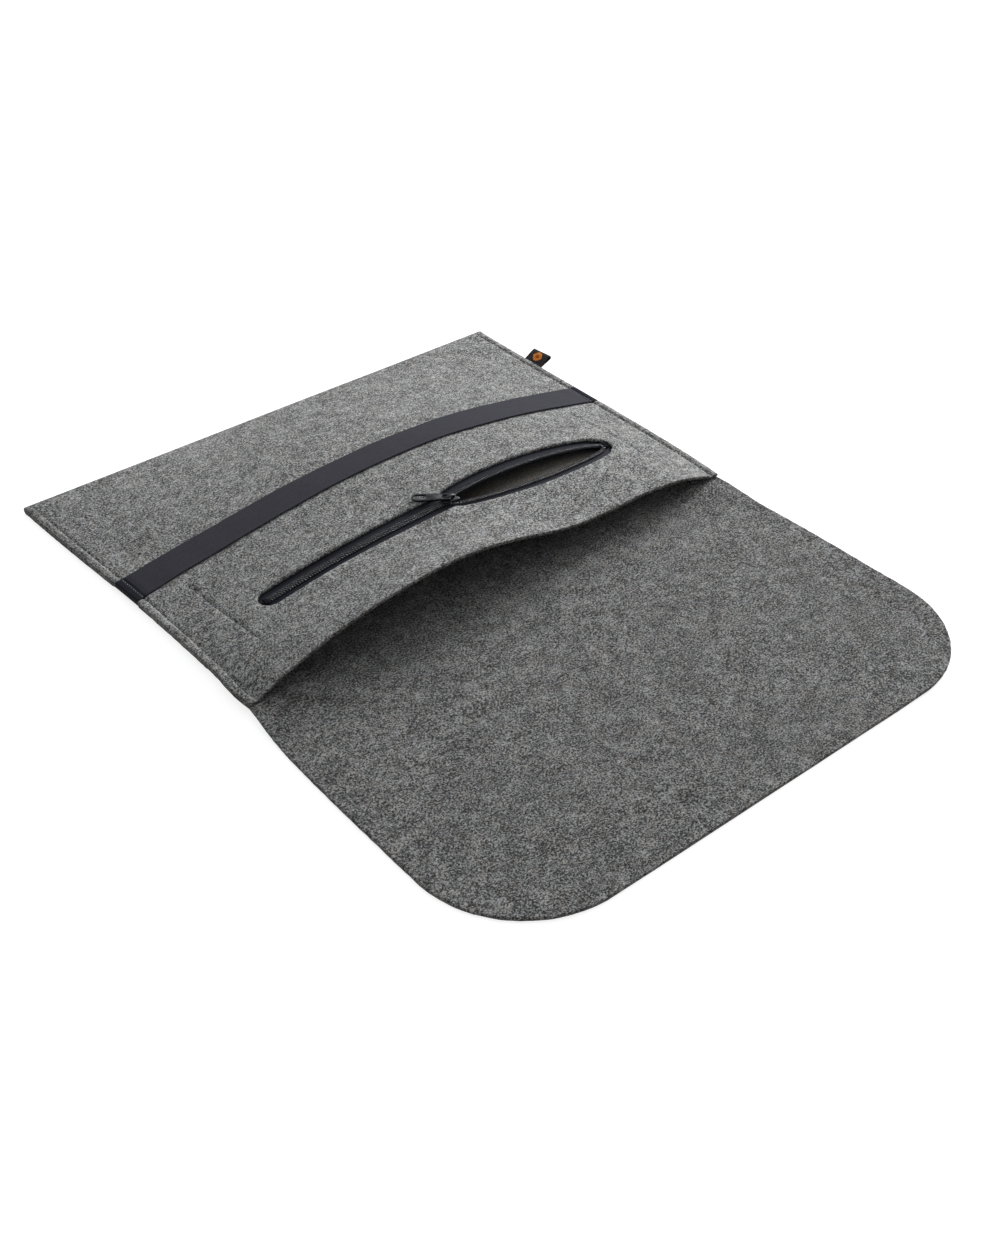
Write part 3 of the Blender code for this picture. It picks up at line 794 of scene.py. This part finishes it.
def bevelled(name, mesh_maker, look, width, angle=radians(35)):
    """An object from mesh_maker's bmesh, with its edges rounded for good."""
    shape = bmesh.new()
    mesh_maker(shape)
    bmesh.ops.recalc_face_normals(shape, faces=shape.faces)
    sharp = [e for e in shape.edges if len(e.link_faces) == 2 and e.calc_face_angle() > angle]
    bmesh.ops.bevel(shape, geom=sharp, offset=width, segments=3, profile=0.5, affect="EDGES",
                    clamp_overlap=True)
    mesh = bpy.data.meshes.new(name)
    shape.to_mesh(mesh)
    shape.free()
    mesh.materials.append(look)
    mesh.shade_smooth()
    mesh.set_sharp_from_angle(angle=SHARP_METAL_EDGE)
    return add_object(name, mesh)


def rectangle(start, end, near, far):
    return [(start, near), (end, near), (end, far), (start, far)]


def slab(shape, outline, low, high):
    """Adds a flat-sided slab with the given outline to a bmesh."""
    bottom = [shape.verts.new((x, y, low)) for x, y in outline]
    top = [shape.verts.new((x, y, high)) for x, y in outline]
    shape.faces.new(list(reversed(bottom)))
    shape.faces.new(top)
    count = len(outline)
    for i in range(count):
        j = (i + 1) % count
        shape.faces.new((bottom[i], bottom[j], top[j], top[i]))


def pierced_slab(shape, outline, hole, low, high):
    """A slab with one hole; both outlines have the same number of points, in the same order."""
    rings = []
    for z in (low, high):
        rings.append([shape.verts.new((x, y, z)) for x, y in outline])
        rings.append([shape.verts.new((x, y, z)) for x, y in hole])
    outer_low, inner_low, outer_high, inner_high = rings
    count = len(outline)
    for i in range(count):
        j = (i + 1) % count
        shape.faces.new((outer_low[i], outer_low[j], outer_high[j], outer_high[i]))
        shape.faces.new((inner_low[j], inner_low[i], inner_high[i], inner_high[j]))
        shape.faces.new((outer_high[i], outer_high[j], inner_high[j], inner_high[i]))
        shape.faces.new((outer_low[j], outer_low[i], inner_low[i], inner_low[j]))


def join(name, pieces):
    """One object from several that stand at the origin."""
    whole = bmesh.new()
    look = pieces[0].data.materials[0]
    for piece in pieces:
        whole.from_mesh(piece.data)
        bpy.data.objects.remove(piece, do_unlink=True)
    mesh = bpy.data.meshes.new(name)
    whole.to_mesh(mesh)
    whole.free()
    mesh.materials.append(look)
    return add_object(name, mesh)


def slider_level():
    return under_felt(SLIDER_X, ZIP_V) + GAP + COIL_RADIUS


def shield():
    """The slider's plate: rounded at the closed side, broad shoulders where the two halves enter."""
    half = SLIDER_WIDTH / 2
    front = SLIDER_LENGTH / 2
    side = [(-front, half * 0.28), (-front + 0.0006, half * 0.52), (-front + 0.0018, half * 0.66)]
    side += [(0.0, half * 0.80), (front * 0.45, half * 0.95), (front * 0.75, half)]
    side += [(front * 0.93, half * 0.88), (front, half * 0.62), (front * 0.93, half * 0.30)]
    side += [(front * 0.88, half * 0.10)]
    return rounded_run(side)


def make_slider(look):
    """Two shield plates, side flanges, the wedge between them and the crown that holds the pull."""
    level = slider_level()
    upper = level + COIL_RADIUS + GAP
    lower = level - COIL_RADIUS - 2 * GAP - TAPE_THICKNESS - PLATE
    flange = SLIDER_WIDTH / 2 - 0.6 * MM

    def plates(shape):
        slab(shape, shield(), upper, upper + PLATE)
        slab(shape, shield(), lower, lower + PLATE)

    def flanges(shape):
        for side in (-1, 1):
            outline = rectangle(FLANGE_START, FLANGE_END, side * (flange - FLANGE_THICKNESS), side * flange)
            slab(shape, outline, upper - 0.6 * MM, upper + PLATE / 2)

    def wedge(shape):
        widest = WEDGE_START + 1.0 * MM
        outline = [(WEDGE_START, 0), (widest, -WEDGE_HALF), (WEDGE_END, 0), (widest, WEDGE_HALF)]
        slab(shape, outline, lower + PLATE / 2, upper + PLATE / 2)

    arch = []
    for angle in span(0, pi, 17):
        bow = CROWN_RISE * max(sin(angle), 0.0) ** CROWN_ROUNDNESS
        arch.append((-CROWN_HALF_LENGTH * cos(angle), 0.0, upper + PLATE - 0.3 * MM + bow))
    crown = tube_mesh("slider_crown", [arch], CROWN_WIRE, look, sides=10, across_to=(0, 1, 0))
    crown.data.transform(Matrix.Diagonal((1, CROWN_BREADTH, 1, 1)))
    parts = [
        bevelled("slider_plates", plates, look, PLATE_BEVEL),
        bevelled("slider_flanges", flanges, look, FLANGE_BEVEL),
        bevelled("slider_wedge", wedge, look, WEDGE_BEVEL),
    ]
    slider = join("metal_slider", parts + [crown])
    slider.data.transform(Matrix.Translation((SLIDER_X, to_y(ZIP_V), 0)))
    slider.data.shade_smooth()
    slider.data.set_sharp_from_angle(angle=SHARP_METAL_EDGE)
    settle(slider, "zip_metal", "slider", "zip_slider")


def rounded_run(half_outline):
    """A closed outline from its +y half, listed from one end of the axis to the other."""
    return [(x, -y) for x, y in half_outline] + [(x, y) for x, y in reversed(half_outline)]


def oval(start, end, half_height, count):
    """Half of a round-ended hole's edge, from its near end to its far end."""
    points = []
    for k in range(count):
        angle = pi * k / (count - 1)
        x = (start + half_height) if k < count / 2 else (end - half_height)
        points.append((x - half_height * cos(angle), max(half_height * sin(angle), 0.2 * MM)))
    return points


def make_pull(look):
    """The pull tab, with an eye round the crown and a long window near its free end."""
    def sides(start, end, count):
        return [(x, PULL_NARROW + PULL_FLARE * smooth(0.004, 0.019, x)) for x in span(start, end, count)]

    def ring(shape, half_outline, hole):
        rim = rounded_run(oval(*hole, PULL_POINTS))
        pierced_slab(shape, rounded_run(half_outline), rim, -PULL_THICKNESS / 2, PULL_THICKNESS / 2)

    def tab(shape):
        ring(shape, sides(-PULL_THICKNESS / 2, PULL_SPLIT, PULL_POINTS), PULL_EYE)
        tip_x = PULL_LENGTH - PULL_TIP
        free_end = sides(PULL_SPLIT, tip_x, PULL_POINTS // 2)
        for angle in span(pi / 2, 0, PULL_POINTS // 2 + 1)[1:]:
            free_end.append((tip_x + PULL_TIP * cos(angle), max(PULL_TIP * sin(angle), 0.3 * MM)))
        ring(shape, free_end, PULL_WINDOW)
        bmesh.ops.remove_doubles(shape, verts=shape.verts, dist=0.01 * MM)

    pull = bevelled("metal_pull", tab, look, METAL_BEVEL, SHARP_METAL_EDGE)
    z = slider_level() + COIL_RADIUS + GAP + PLATE + 1.0 * MM
    pull.data.transform(Matrix.Translation((SLIDER_X, to_y(ZIP_V), z)) @ Matrix.Rotation(PULL_YAW, 4, "Z"))
    settle(pull, "zip_metal", "pull", "zip_pull")


def make_stop(name, node, x, offset, width, look):
    """A metal clamp over the coil, with a pressed groove."""
    centre = coil_centre(x, 1 if offset >= 0 else -1)
    z = under_felt(x, ZIP_V) + GAP

    def clamp(shape):
        for start in JAW_STARTS:
            slab(shape, rectangle(start, start + JAW_LENGTH, -width / 2, width / 2), 0.0, STOP_HEIGHT)
        half = width / 2 - STOP_CORE_INSET
        core = rectangle(-STOP_CORE_LENGTH / 2, STOP_CORE_LENGTH / 2, -half, half)
        slab(shape, core, STOP_CORE_INSET, STOP_CORE_HEIGHT)

    stop = bevelled(name, clamp, look, METAL_BEVEL)
    stop.data.transform(Matrix.Translation((centre.x, to_y(ZIP_V) + offset, z)))
    settle(stop, "zip_metal", "sleeve", node)


def make_stops(look):
    left_x = SLOT_LEFT_X + COIL_END_INSET - 1.5 * MM
    right_x = SLOT_RIGHT_X - COIL_END_INSET + 1.5 * MM
    make_stop("stop_bottom", "zip_stop_bottom", left_x, 0.0, STOP_BOTTOM_WIDTH, look)
    make_stop("stop_top_upper", "zip_stop_top_upper", right_x, STOP_OFFSET, STOP_WIDTH, look)
    make_stop("stop_top_lower", "zip_stop_top_lower", right_x, -STOP_OFFSET, STOP_WIDTH, look)


# ---- the band, the label and the stitches

def make_band(look):
    """The elastic, in two halves that meet in the middle, each running from its sewn end."""
    for side, name in ((-1, "band_left"), (1, "band_right")):
        rows = []
        for k in range(2 * BAND_RIBS + 1):
            straight_v = BAND_START_V + BAND_WIDTH * k / (2 * BAND_RIBS)
            rib = BAND_RIB_HEIGHT * (1 if k % 2 else -1)
            half = half_width(straight_v) - ANCHOR_LEG + ANCHOR_OVERLAP
            near, far = (-half, 0.0) if side < 0 else (0.0, half)
            row = []
            for x in steps(near, far, BAND_STEP):
                v = straight_v + BAND_BOW * (1 - (x / half) ** 2)
                hover = GAP + BAND_HOVER * smooth(half, half - BAND_HOVER_REACH, abs(x))
                felt_z = panel_top(x, v) + wave(x, v, FRONT_SEED) - band_press(x, v)
                row.append(at(x, v, felt_z + hover + BAND_THICKNESS + rib))
            rows.append(row)
        middle = len(rows[0]) - 1 if side < 0 else 0
        band = sheet_grid(name, rows, BAND_THICKNESS, look, BAND_SOFTNESS, plain_column=middle)
        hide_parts("elastic_band")
        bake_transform(band)


def anchor_top(v):
    press = edge_press(3 * MM) + BAND_PRESS
    return SEAM_TOP + seam_lift(v) - press + GAP + BAND_THICKNESS


def anchor_profile(v):
    """The strip round the side edge, from the top side to the underside, as (inset, height)."""
    top = anchor_top(v)
    bottom = seam_lift(v) + 1.3 * MM - BAND_THICKNESS
    points = [(ANCHOR_LEG, top + 0.0007), (0.0074, top + 0.0006), (0.0064, top + 0.0004),
              (SEAM_INSET, top - 0.0003), (0.0048, top + 0.0002), (0.0036, top + 0.0002), (0.0022, top)]
    radius = ANCHOR_FOLD_RADIUS
    centre = ANCHOR_EDGE + radius
    for angle in span(0, pi / 2, 6):
        points.append((centre - radius * sin(angle), top - radius + radius * cos(angle)))
    for angle in span(0, pi / 2, 6):
        points.append((centre - radius * cos(angle), bottom + radius - radius * sin(angle)))
    points += [(3 * MM, bottom), (SEAM_INSET, bottom), (ANCHOR_LEG, bottom - 0.2 * MM)]
    return points


def normals(profile):
    """Unit normals of a flat profile, to the left of its run."""
    ahead = np.gradient(profile, axis=0)
    ahead /= np.linalg.norm(ahead, axis=1)[:, None]
    return np.stack([-ahead[:, 1], ahead[:, 0]], axis=1)


def make_anchor(side, name, node, look):
    layers = []
    stations = steps(BAND_START_V - 0.4 * MM, BAND_START_V + BAND_WIDTH + 0.4 * MM, 0.8 * MM)
    for v in stations:
        profile = np.array(anchor_profile(v))
        pairs = zip(profile, profile + normals(profile) * ANCHOR_THICKNESS)
        layers += [[at(side * (half_width(v) - inset), v, z) for inset, z in pair] for pair in pairs]
    faces = grid_faces(len(stations), len(profile))
    if side < 0:
        faces = [tuple(reversed(face)) for face in faces]
    anchor = thick_sheet(name, layers, faces, look, TAPE_SOFTNESS)
    settle(anchor, "elastic", "sleeve", node)


def label_side(along):
    """Half the distance between the label's two layers at this share of its length."""
    return LABEL_ROOT + LABEL_SWELL * smooth(0.15, 1.0, along)


def label_place(along, height, v):
    """A point of the tilted label, along its length and above its middle."""
    middle_v = LABEL_V + LABEL_WIDTH / 2
    curl = LABEL_CURL * (along / LABEL_LENGTH) ** 2 * smooth(LABEL_V, LABEL_V + LABEL_WIDTH, v)
    x = half_width(middle_v) - LABEL_IN_SEAM + along * cos(LABEL_TILT) - height * sin(LABEL_TILT)
    z = SEAM_TOP / 2 + seam_lift(middle_v) + along * sin(LABEL_TILT) + height * cos(LABEL_TILT)
    return (x, to_y(v), z - curl)


def label_profile():
    """The folded strip's middle line, out along the top, round the tip and back."""
    radius = label_side(1.0)
    tip = LABEL_LENGTH - radius
    shares = span(-0.25, 1, 18)
    profile = [(tip * s, label_side(s)) for s in shares]
    profile += [(tip + radius * cos(a), radius * sin(a)) for a in span(pi / 2, -pi / 2, 12)[1:-1]]
    return profile + [(tip * s, -label_side(s)) for s in reversed(shares)]


def make_label(cloth):
    """The woven label, folded into a loop and sewn into the right seam."""
    flat = np.array(label_profile())
    shift = normals(flat) * LABEL_THICKNESS / 2
    pairs = list(zip(flat + shift, flat - shift))
    stations = steps(LABEL_V, LABEL_V + LABEL_WIDTH, 1.0 * MM)
    layers = [[label_place(along, height, v) for along, height in pair] for v in stations for pair in pairs]
    faces = grid_faces(len(stations), len(flat))
    label = thick_sheet("woven_label", layers, faces, cloth, LABEL_SOFTNESS)
    settle(label, "label", "sleeve", "side_label")


def make_mark(name, half_length, half_width_v, height, look):
    """Rows of embroidery threads that fill a diamond in the middle of the label."""
    middle_along = MARK_SHARE * LABEL_LENGTH
    middle_v = LABEL_V + LABEL_WIDTH / 2
    threads = []
    for offset in steps(-half_length, half_length, MARK_PITCH)[1:-1]:
        along = middle_along + offset
        reach = half_width_v * (1 - abs(offset / half_length)) ** MARK_ROUNDNESS
        level = label_side(along / LABEL_LENGTH) + LABEL_THICKNESS / 2 + height
        threads.append([label_place(along, level, middle_v + v) for v in span(-reach, reach, 8)])
    mark = tube_mesh(name, threads, MARK_WIRE, look)
    settle(mark, "label", "sleeve")


def sew(name, place, stations, length, wire, look, *nodes):
    """A row of stitches; each rises out of the felt at one end and sinks back at the other."""
    paths = []
    for v in stations:
        path = []
        for s in span(-1, 1, 7):
            x, y, z = place(v + s * length / 2)
            path.append((x, y, z - STITCH_SINK * abs(s) ** 3))
        paths.append(path)
    settle(tube_mesh(name, paths, wire, look), "thread", "sleeve", *nodes)


def make_seam_stitches(side, name, look):
    def place(v):
        x = side * (half_width(v) - SEAM_INSET)
        return at(x, v, strip_points(x, min(v, FRONT_LENGTH))[0][2])

    stations = steps(6 * MM, BODY_DEPTH - 6 * MM, STITCH_PITCH)
    seen = [v for v in stations if abs(v - BAND_MIDDLE_V) > BAND_WIDTH / 2 + 2.2 * MM]
    sew(name, place, seen, STITCH_LENGTH, SEAM_WIRE, look, name.replace("stitches", "thread"))


def make_anchor_stitches(side, name, look):
    """The pale stitches across the band's end."""
    def place(v):
        x = side * (half_width(v) - SEAM_INSET)
        return at(x, v, anchor_top(v) - 0.1 * MM)

    first = BAND_START_V + BAND_STITCH_INSET
    last = BAND_START_V + BAND_WIDTH - BAND_STITCH_INSET
    sew(name, place, steps(first, last, BAND_STITCH_PITCH), BAND_STITCH_LENGTH, BAND_STITCH_WIRE, look)


def make_pocket_stitches(side, name, look):
    """The row of sewing that holds one side of the pocket lining."""
    def place(v):
        x = side * pocket_line(v)
        return at(x, v, strip_points(x, v)[0][2] + 0.06 * MM)

    stations = steps(POCKET_FRONT_V + 2 * MM, POCKET_BACK_V - 2 * MM, STITCH_PITCH)
    sew(name, place, stations, STITCH_LENGTH, POCKET_WIRE, look, name.replace("stitches", "thread"))


# ---- materials

class Look:
    """A material, with short ways to add its nodes."""

    def __init__(self, name):
        self.material = bpy.data.materials.new(name)
        self.material.use_nodes = True
        self.nodes = self.material.node_tree.nodes
        self.links = self.material.node_tree.links
        self.shader = self.nodes["Principled BSDF"]
        self.place = self.add("ShaderNodeTexCoord").outputs["Object"]

    def add(self, kind, inputs=(), **settings):
        made = self.nodes.new(kind)
        for key, value in settings.items():
            setattr(made, key, value)
        for key, value in dict(inputs).items():
            self.put(made.inputs[key], value)
        return made

    def put(self, socket, value):
        if isinstance(value, bpy.types.NodeSocket):
            self.links.new(value, socket)
        else:
            socket.default_value = value

    def mapped(self, scale, turn=(0, 0, 0)):
        inputs = {"Vector": self.place, "Scale": scale, "Rotation": turn}
        return self.add("ShaderNodeMapping", inputs).outputs["Vector"]

    def noise(self, scale, detail=2.0, roughness=0.5, place=None, distortion=0.0):
        inputs = {"Vector": place or self.place, "Scale": scale, "Detail": detail, "Roughness": roughness,
                  "Distortion": distortion}
        return self.add("ShaderNodeTexNoise", inputs).outputs["Fac"]

    def math(self, operation, a, b=0.0, c=0.0):
        return self.add("ShaderNodeMath", {0: a, 1: b, 2: c}, operation=operation).outputs[0]

    def ripple(self, value, period):
        """A sine wave of the value."""
        return self.math("SINE", self.math("MULTIPLY", value, 2 * pi / period))

    def weighed(self, first, share, second, other_share):
        """The sum of two values, each times its share."""
        return self.math("MULTIPLY_ADD", first, share, self.math("MULTIPLY", second, other_share))

    def axes(self):
        return self.add("ShaderNodeSeparateXYZ", {"Vector": self.place}).outputs

    def between(self, value, low, high, new_low=0.0, new_high=1.0):
        inputs = {"Value": value, "From Min": low, "From Max": high, "To Min": new_low, "To Max": new_high}
        return self.add("ShaderNodeMapRange", inputs, clamp=True).outputs["Result"]

    def blend(self, share, first, second, kind="MIX"):
        made = self.add("ShaderNodeMix", data_type="RGBA", blend_type=kind)
        self.put(made.inputs[0], share)
        for number, colour in ((6, first), (7, second)):
            self.put(made.inputs[number], (*colour, 1) if isinstance(colour, tuple) else colour)
        return made.outputs[2]

    def bump(self, height, distance, strength=1.0):
        made = self.add("ShaderNodeBump", {"Height": height, "Distance": distance, "Strength": strength})
        self.links.new(made.outputs["Normal"], self.shader.inputs["Normal"])

    def set(self, **values):
        for key, value in values.items():
            self.put(self.shader.inputs[key.replace("_", " ")], value)
        return self.material

    def cloth(self, colour, roughness, sheen, specular, sheen_roughness=0.5):
        return self.set(Base_Color=colour, Roughness=roughness, Sheen_Weight=sheen,
                        Sheen_Roughness=sheen_roughness, Specular_IOR_Level=specular)


def fibres(look, scale, angle, stretch):
    """Thin crossing fibres: ridges of a stretched noise."""
    place = look.mapped((1, stretch, 1), (0.2, 0.1, angle))
    field = look.noise(scale, 1.0, 0.4, place, distortion=0.6)
    away = look.math("ABSOLUTE", look.math("SUBTRACT", field, 0.5))
    return look.between(away, 0.0, 0.07, 1.0, 0.0)


def felt_look(name, dark, middle, light, warmth):
    """Melange wool felt: dark and pale fibres, mottling, fuzz."""
    look = Look(name)
    speck = look.noise(840, 2.0, 0.65)
    grain = look.noise(1600, 1.0, 0.5)
    long_a = fibres(look, 260, 0.35, 3.2)
    long_b = fibres(look, 300, 1.9, 3.0)
    mottle = look.noise(70, 3.0, 0.6)
    tone = look.weighed(speck, 0.70, grain, 0.30)
    tone = look.math("MULTIPLY_ADD", look.math("SUBTRACT", mottle, 0.5), 0.14, tone)
    colour = look.blend(look.between(tone, 0.50, 0.61), middle, light)
    colour = look.blend(look.between(tone, 0.50, 0.40), colour, dark)
    fibre_share = look.math("MULTIPLY", long_a, look.between(look.noise(190), 0.48, 0.62, 0.0, 0.60))
    colour = look.blend(fibre_share, colour, tuple(min(1.0, 1.35 * c) for c in light))
    patches = look.noise(230, place=look.mapped((1, 1, 2)))
    hair_share = look.math("MULTIPLY", long_b, look.between(patches, 0.50, 0.64, 0.0, 0.65))
    colour = look.blend(hair_share, colour, tuple(0.6 * c for c in dark))
    warm_share = look.between(look.noise(180, 2.0), 0.45, 0.62, 0.0, warmth)
    colour = look.blend(warm_share, colour, (1.07, 0.99, 0.88), "MULTIPLY")
    # Painted shade: the cut edges' colour is multiplied darker, standing in for the shade on the felt's
    # side faces.
    painted_edge_shade = look.add("ShaderNodeAttribute", attribute_name="painted_edge_shade").outputs["Fac"]
    colour = look.blend(painted_edge_shade, colour, (0.50, 0.48, 0.46), "MULTIPLY")
    look.bump(look.weighed(speck, 0.8, long_a, 0.35), 0.00030, 0.8)
    return look.cloth(colour, 0.95, 0.06, 0.10)


def lining_look():
    look = Look("pocket_felt")
    speck = look.noise(800, 2.0, 0.6)
    hairs = fibres(look, 280, 1.2, 3.0)
    share = look.between(speck, 0.40, 0.66)
    # Partly painted shade: the lining's own dark brown felt colour is made darker still, standing in for
    # the shade inside the pocket.
    colour = look.blend(share, (0.010, 0.009, 0.007), (0.056, 0.049, 0.040))
    colour = look.blend(look.math("MULTIPLY", hairs, 0.35), colour, (0.095, 0.084, 0.070))
    look.bump(speck, 0.00030, 0.8)
    return look.cloth(colour, 0.95, 0.10, 0.5)


def elastic_look(name, dark, light):
    """Ribbed woven elastic: covered rubber strands lengthways, fine wefts across."""
    look = Look(name)
    weft = look.ripple(look.axes()["X"], 0.0011)
    warp = look.ripple(look.axes()["Y"], 0.0010)
    weave = look.math("MULTIPLY_ADD", look.math("MULTIPLY", weft, warp), 0.5, 0.5)
    lint = look.noise(900, 2.0, 0.6)
    share = look.weighed(weave, 0.55, lint, 0.45)
    colour = look.blend(look.between(share, 0.25, 0.80), dark, light)
    look.bump(share, 0.00018, 0.8)
    return look.cloth(colour, 0.92, 0.02, 0.06)


def tape_look():
    """Black herringbone zip tape."""
    look = Look("woven_tape")
    fold = look.math("PINGPONG", look.axes()["Y"], 0.0011)
    diagonal = look.math("ADD", fold, look.axes()["X"])
    twill = look.math("MULTIPLY_ADD", look.ripple(diagonal, 0.0009), 0.5, 0.5)
    lint = look.noise(1100, 2.0, 0.6)
    share = look.weighed(twill, 0.6, lint, 0.4)
    colour = look.blend(look.between(share, 0.2, 0.85), (0.004, 0.004, 0.007), (0.018, 0.019, 0.028))
    look.bump(share, 0.00015, 0.7)
    return look.cloth(colour, 0.85, 0.01, 0.10)


def nylon_look():
    look = Look("coil_nylon")
    wear = look.between(look.noise(400, 2.0), 0.4, 0.7)
    colour = look.blend(wear, (0.024, 0.025, 0.029), (0.066, 0.068, 0.076))
    look.bump(look.noise(2600), 0.00004, 0.4)
    return look.set(Base_Color=colour, Roughness=0.26, Specular_IOR_Level=0.65)


def metal_look(name, dark, light, metallic):
    """Dark plating, rubbed brighter on its edges, with fine scratches and smudges."""
    look = Look(name)
    smudge = look.noise(260, 3.0, 0.6)
    scratch = look.noise(900, 1.0, 0.5, look.mapped((1, 14, 1), (0, 0, 0.6)))
    bent = look.add("ShaderNodeNewGeometry").outputs["Pointiness"]
    edge = look.between(bent, 0.57, 0.68)
    worn = look.math("MULTIPLY", edge, look.between(smudge, 0.35, 0.60, 0.35, 1.0))
    colour = look.blend(look.between(smudge, 0.3, 0.7), dark, light)
    colour = look.blend(worn, colour, tuple(3.2 * c for c in light))
    scratched = look.between(scratch, 0.55, 0.75, 0.0, 0.12)
    rough = look.math("ADD", look.between(smudge, 0.3, 0.7, 0.26, 0.40), scratched)
    look.bump(scratch, 0.00002, 0.25)
    return look.set(Base_Color=colour, Metallic=metallic, Roughness=rough,
                    Specular_IOR_Level=0.5 * metallic)


def label_look():
    look = Look("label_weave")
    rib = look.math("MULTIPLY_ADD", look.ripple(look.axes()["X"], 0.0006), 0.5, 0.5)
    thread = look.math("MULTIPLY_ADD", look.ripple(look.axes()["Y"], 0.0008), 0.5, 0.5)
    share = look.weighed(rib, 0.5, thread, 0.25)
    share = look.math("MULTIPLY_ADD", look.noise(1400), 0.25, share)
    colour = look.blend(share, (0.011, 0.010, 0.011), (0.046, 0.041, 0.045))
    look.bump(share, 0.00012, 0.7)
    return look.cloth(colour, 0.80, 0.03, 0.15, 0.4)


def thread_look(name, dark, light):
    look = Look(name)
    turn = look.noise(1800, 1.0, 0.5, look.mapped((1, 0.4, 1), (0, 0, 0.8)))
    colour = look.blend(look.between(turn, 0.35, 0.65), dark, light)
    look.bump(turn, 0.00008, 0.6)
    return look.cloth(colour, 0.80, 0.02, 0.12)


# ---- the set, whose lights are (place, target, size, power)

CAMERA_PLACE = (-0.54935, -0.76748, 0.63696)
CAMERA_AZIMUTH = radians(-40.766)
CAMERA_ELEVATION = radians(38.497)
CAMERA_ROLL = radians(1.155)
LENS_MM = 47.19
FLOOR_SIZE = 14.0
FLOOR_GLOW = 0.75
SKY_COLOUR = (0.98, 0.99, 1.0, 1)
SKY_STRENGTH = 0.50
KEY_LIGHT = ((1.75, 0.62, 0.86), (0, -0.05, 0), 1.1, 70)
TOP_LIGHT = ((0.2, -0.3, 2.4), (0, -0.1, 0), 1.6, 10)


def make_camera():
    data = bpy.data.cameras.new("camera")
    data.lens = LENS_MM
    data.sensor_width = 36.0
    data.clip_start = 0.01
    camera = add_object("camera", data)
    aim = Matrix.Rotation(CAMERA_AZIMUTH, 4, "Z") @ Matrix.Rotation(pi / 2 - CAMERA_ELEVATION, 4, "X")
    camera.matrix_world = Matrix.Translation(CAMERA_PLACE) @ aim @ Matrix.Rotation(CAMERA_ROLL, 4, "Z")
    bpy.context.scene.camera = camera


def add_light(name, place, target, size, power):
    data = bpy.data.lights.new(name, "AREA")
    data.shape = "DISK"
    data.size = size
    data.energy = power
    light = add_object(name, data)
    light.location = place
    light.rotation_euler = (Vector(place) - Vector(target)).to_track_quat("Z", "Y").to_euler()


def make_set():
    look = Look("floor_white")
    shade = look.between(look.noise(6, 3.0), 0.3, 0.7)
    colour = look.blend(shade, (0.42, 0.42, 0.42), (0.45, 0.45, 0.45))
    look.set(Base_Color=colour, Roughness=0.9, Specular_IOR_Level=0.1, Emission_Color=(1, 1, 1, 1),
             Emission_Strength=FLOOR_GLOW)
    half = FLOOR_SIZE / 2
    corners = [(-half, -half, 0), (half, -half, 0), (half, half, 0), (-half, half, 0)]
    floor = add_mesh("floor", corners, [(0, 1, 2, 3)], look.material)
    world = bpy.data.worlds.new("studio")
    world.use_nodes = True
    sky = world.node_tree.nodes["Background"]
    sky.inputs["Color"].default_value = SKY_COLOUR
    sky.inputs["Strength"].default_value = SKY_STRENGTH
    bpy.context.scene.world = world
    add_light("key", *KEY_LIGHT)
    add_light("top", *TOP_LIGHT)
    bpy.context.scene.view_settings.view_transform = "Standard"


OUTER_COLOURS = (0.020, 0.020, 0.020), (0.110, 0.112, 0.112), (0.350, 0.355, 0.357)
INNER_COLOURS = (0.012, 0.012, 0.012), (0.072, 0.073, 0.073), (0.260, 0.263, 0.265)
OUTER_FELT = felt_look("melange_felt", *OUTER_COLOURS, 0.35)
INNER_FELT = felt_look("inner_felt", *INNER_COLOURS, 0.40)
TAPE = tape_look()
NYLON = nylon_look()
METAL = metal_look("gunmetal", (0.030, 0.031, 0.034), (0.060, 0.061, 0.066), 1.0)
DARK_METAL = metal_look("dark_gunmetal", (0.014, 0.0145, 0.016), (0.032, 0.033, 0.036), 1.0)
BLACK_METAL = metal_look("black_metal", (0.003, 0.003, 0.004), (0.009, 0.009, 0.011), 0.0)
ELASTIC = elastic_look("ribbed_elastic", (0.018, 0.018, 0.0225), (0.046, 0.046, 0.057))
EDGE_ELASTIC = elastic_look("dark_elastic", (0.005, 0.005, 0.008), (0.016, 0.017, 0.024))
DARK_THREAD = thread_look("dark_thread", (0.008, 0.008, 0.008), (0.026, 0.026, 0.026))
PALE_THREAD = thread_look("pale_thread", (0.22, 0.22, 0.23), (0.42, 0.42, 0.43))
ORANGE_THREAD = thread_look("orange_thread", (0.50, 0.16, 0.025), (0.80, 0.32, 0.06))
RUST_THREAD = thread_look("rust_thread", (0.30, 0.06, 0.010), (0.48, 0.12, 0.02))

make_pouch(OUTER_FELT, INNER_FELT)
make_flap(OUTER_FELT, INNER_FELT)
make_pocket_lining(lining_look())
make_zip_tape(1, "woven_tape_upper", TAPE)
make_zip_tape(-1, "woven_tape_lower", TAPE)
make_zip_coil(1, "nylon_coil_upper", NYLON)
make_zip_coil(-1, "nylon_coil_lower", NYLON)
make_stops(BLACK_METAL)
make_slider(DARK_METAL)
make_pull(METAL)
make_band(ELASTIC)
for sign, word in ((-1, "left"), (1, "right")):
    make_anchor(sign, "band_end_" + word, "band_anchor_" + word, EDGE_ELASTIC)
    make_seam_stitches(sign, "seam_stitches_" + word, DARK_THREAD)
    make_pocket_stitches(sign, "pocket_stitches_" + word, DARK_THREAD)
    make_anchor_stitches(sign, "band_stitches_" + word, PALE_THREAD)
make_label(label_look())
make_mark("label_mark", *MARK_OUTER, ORANGE_THREAD)
make_mark("label_mark_middle", *MARK_MIDDLE, RUST_THREAD)
make_set()
make_camera()
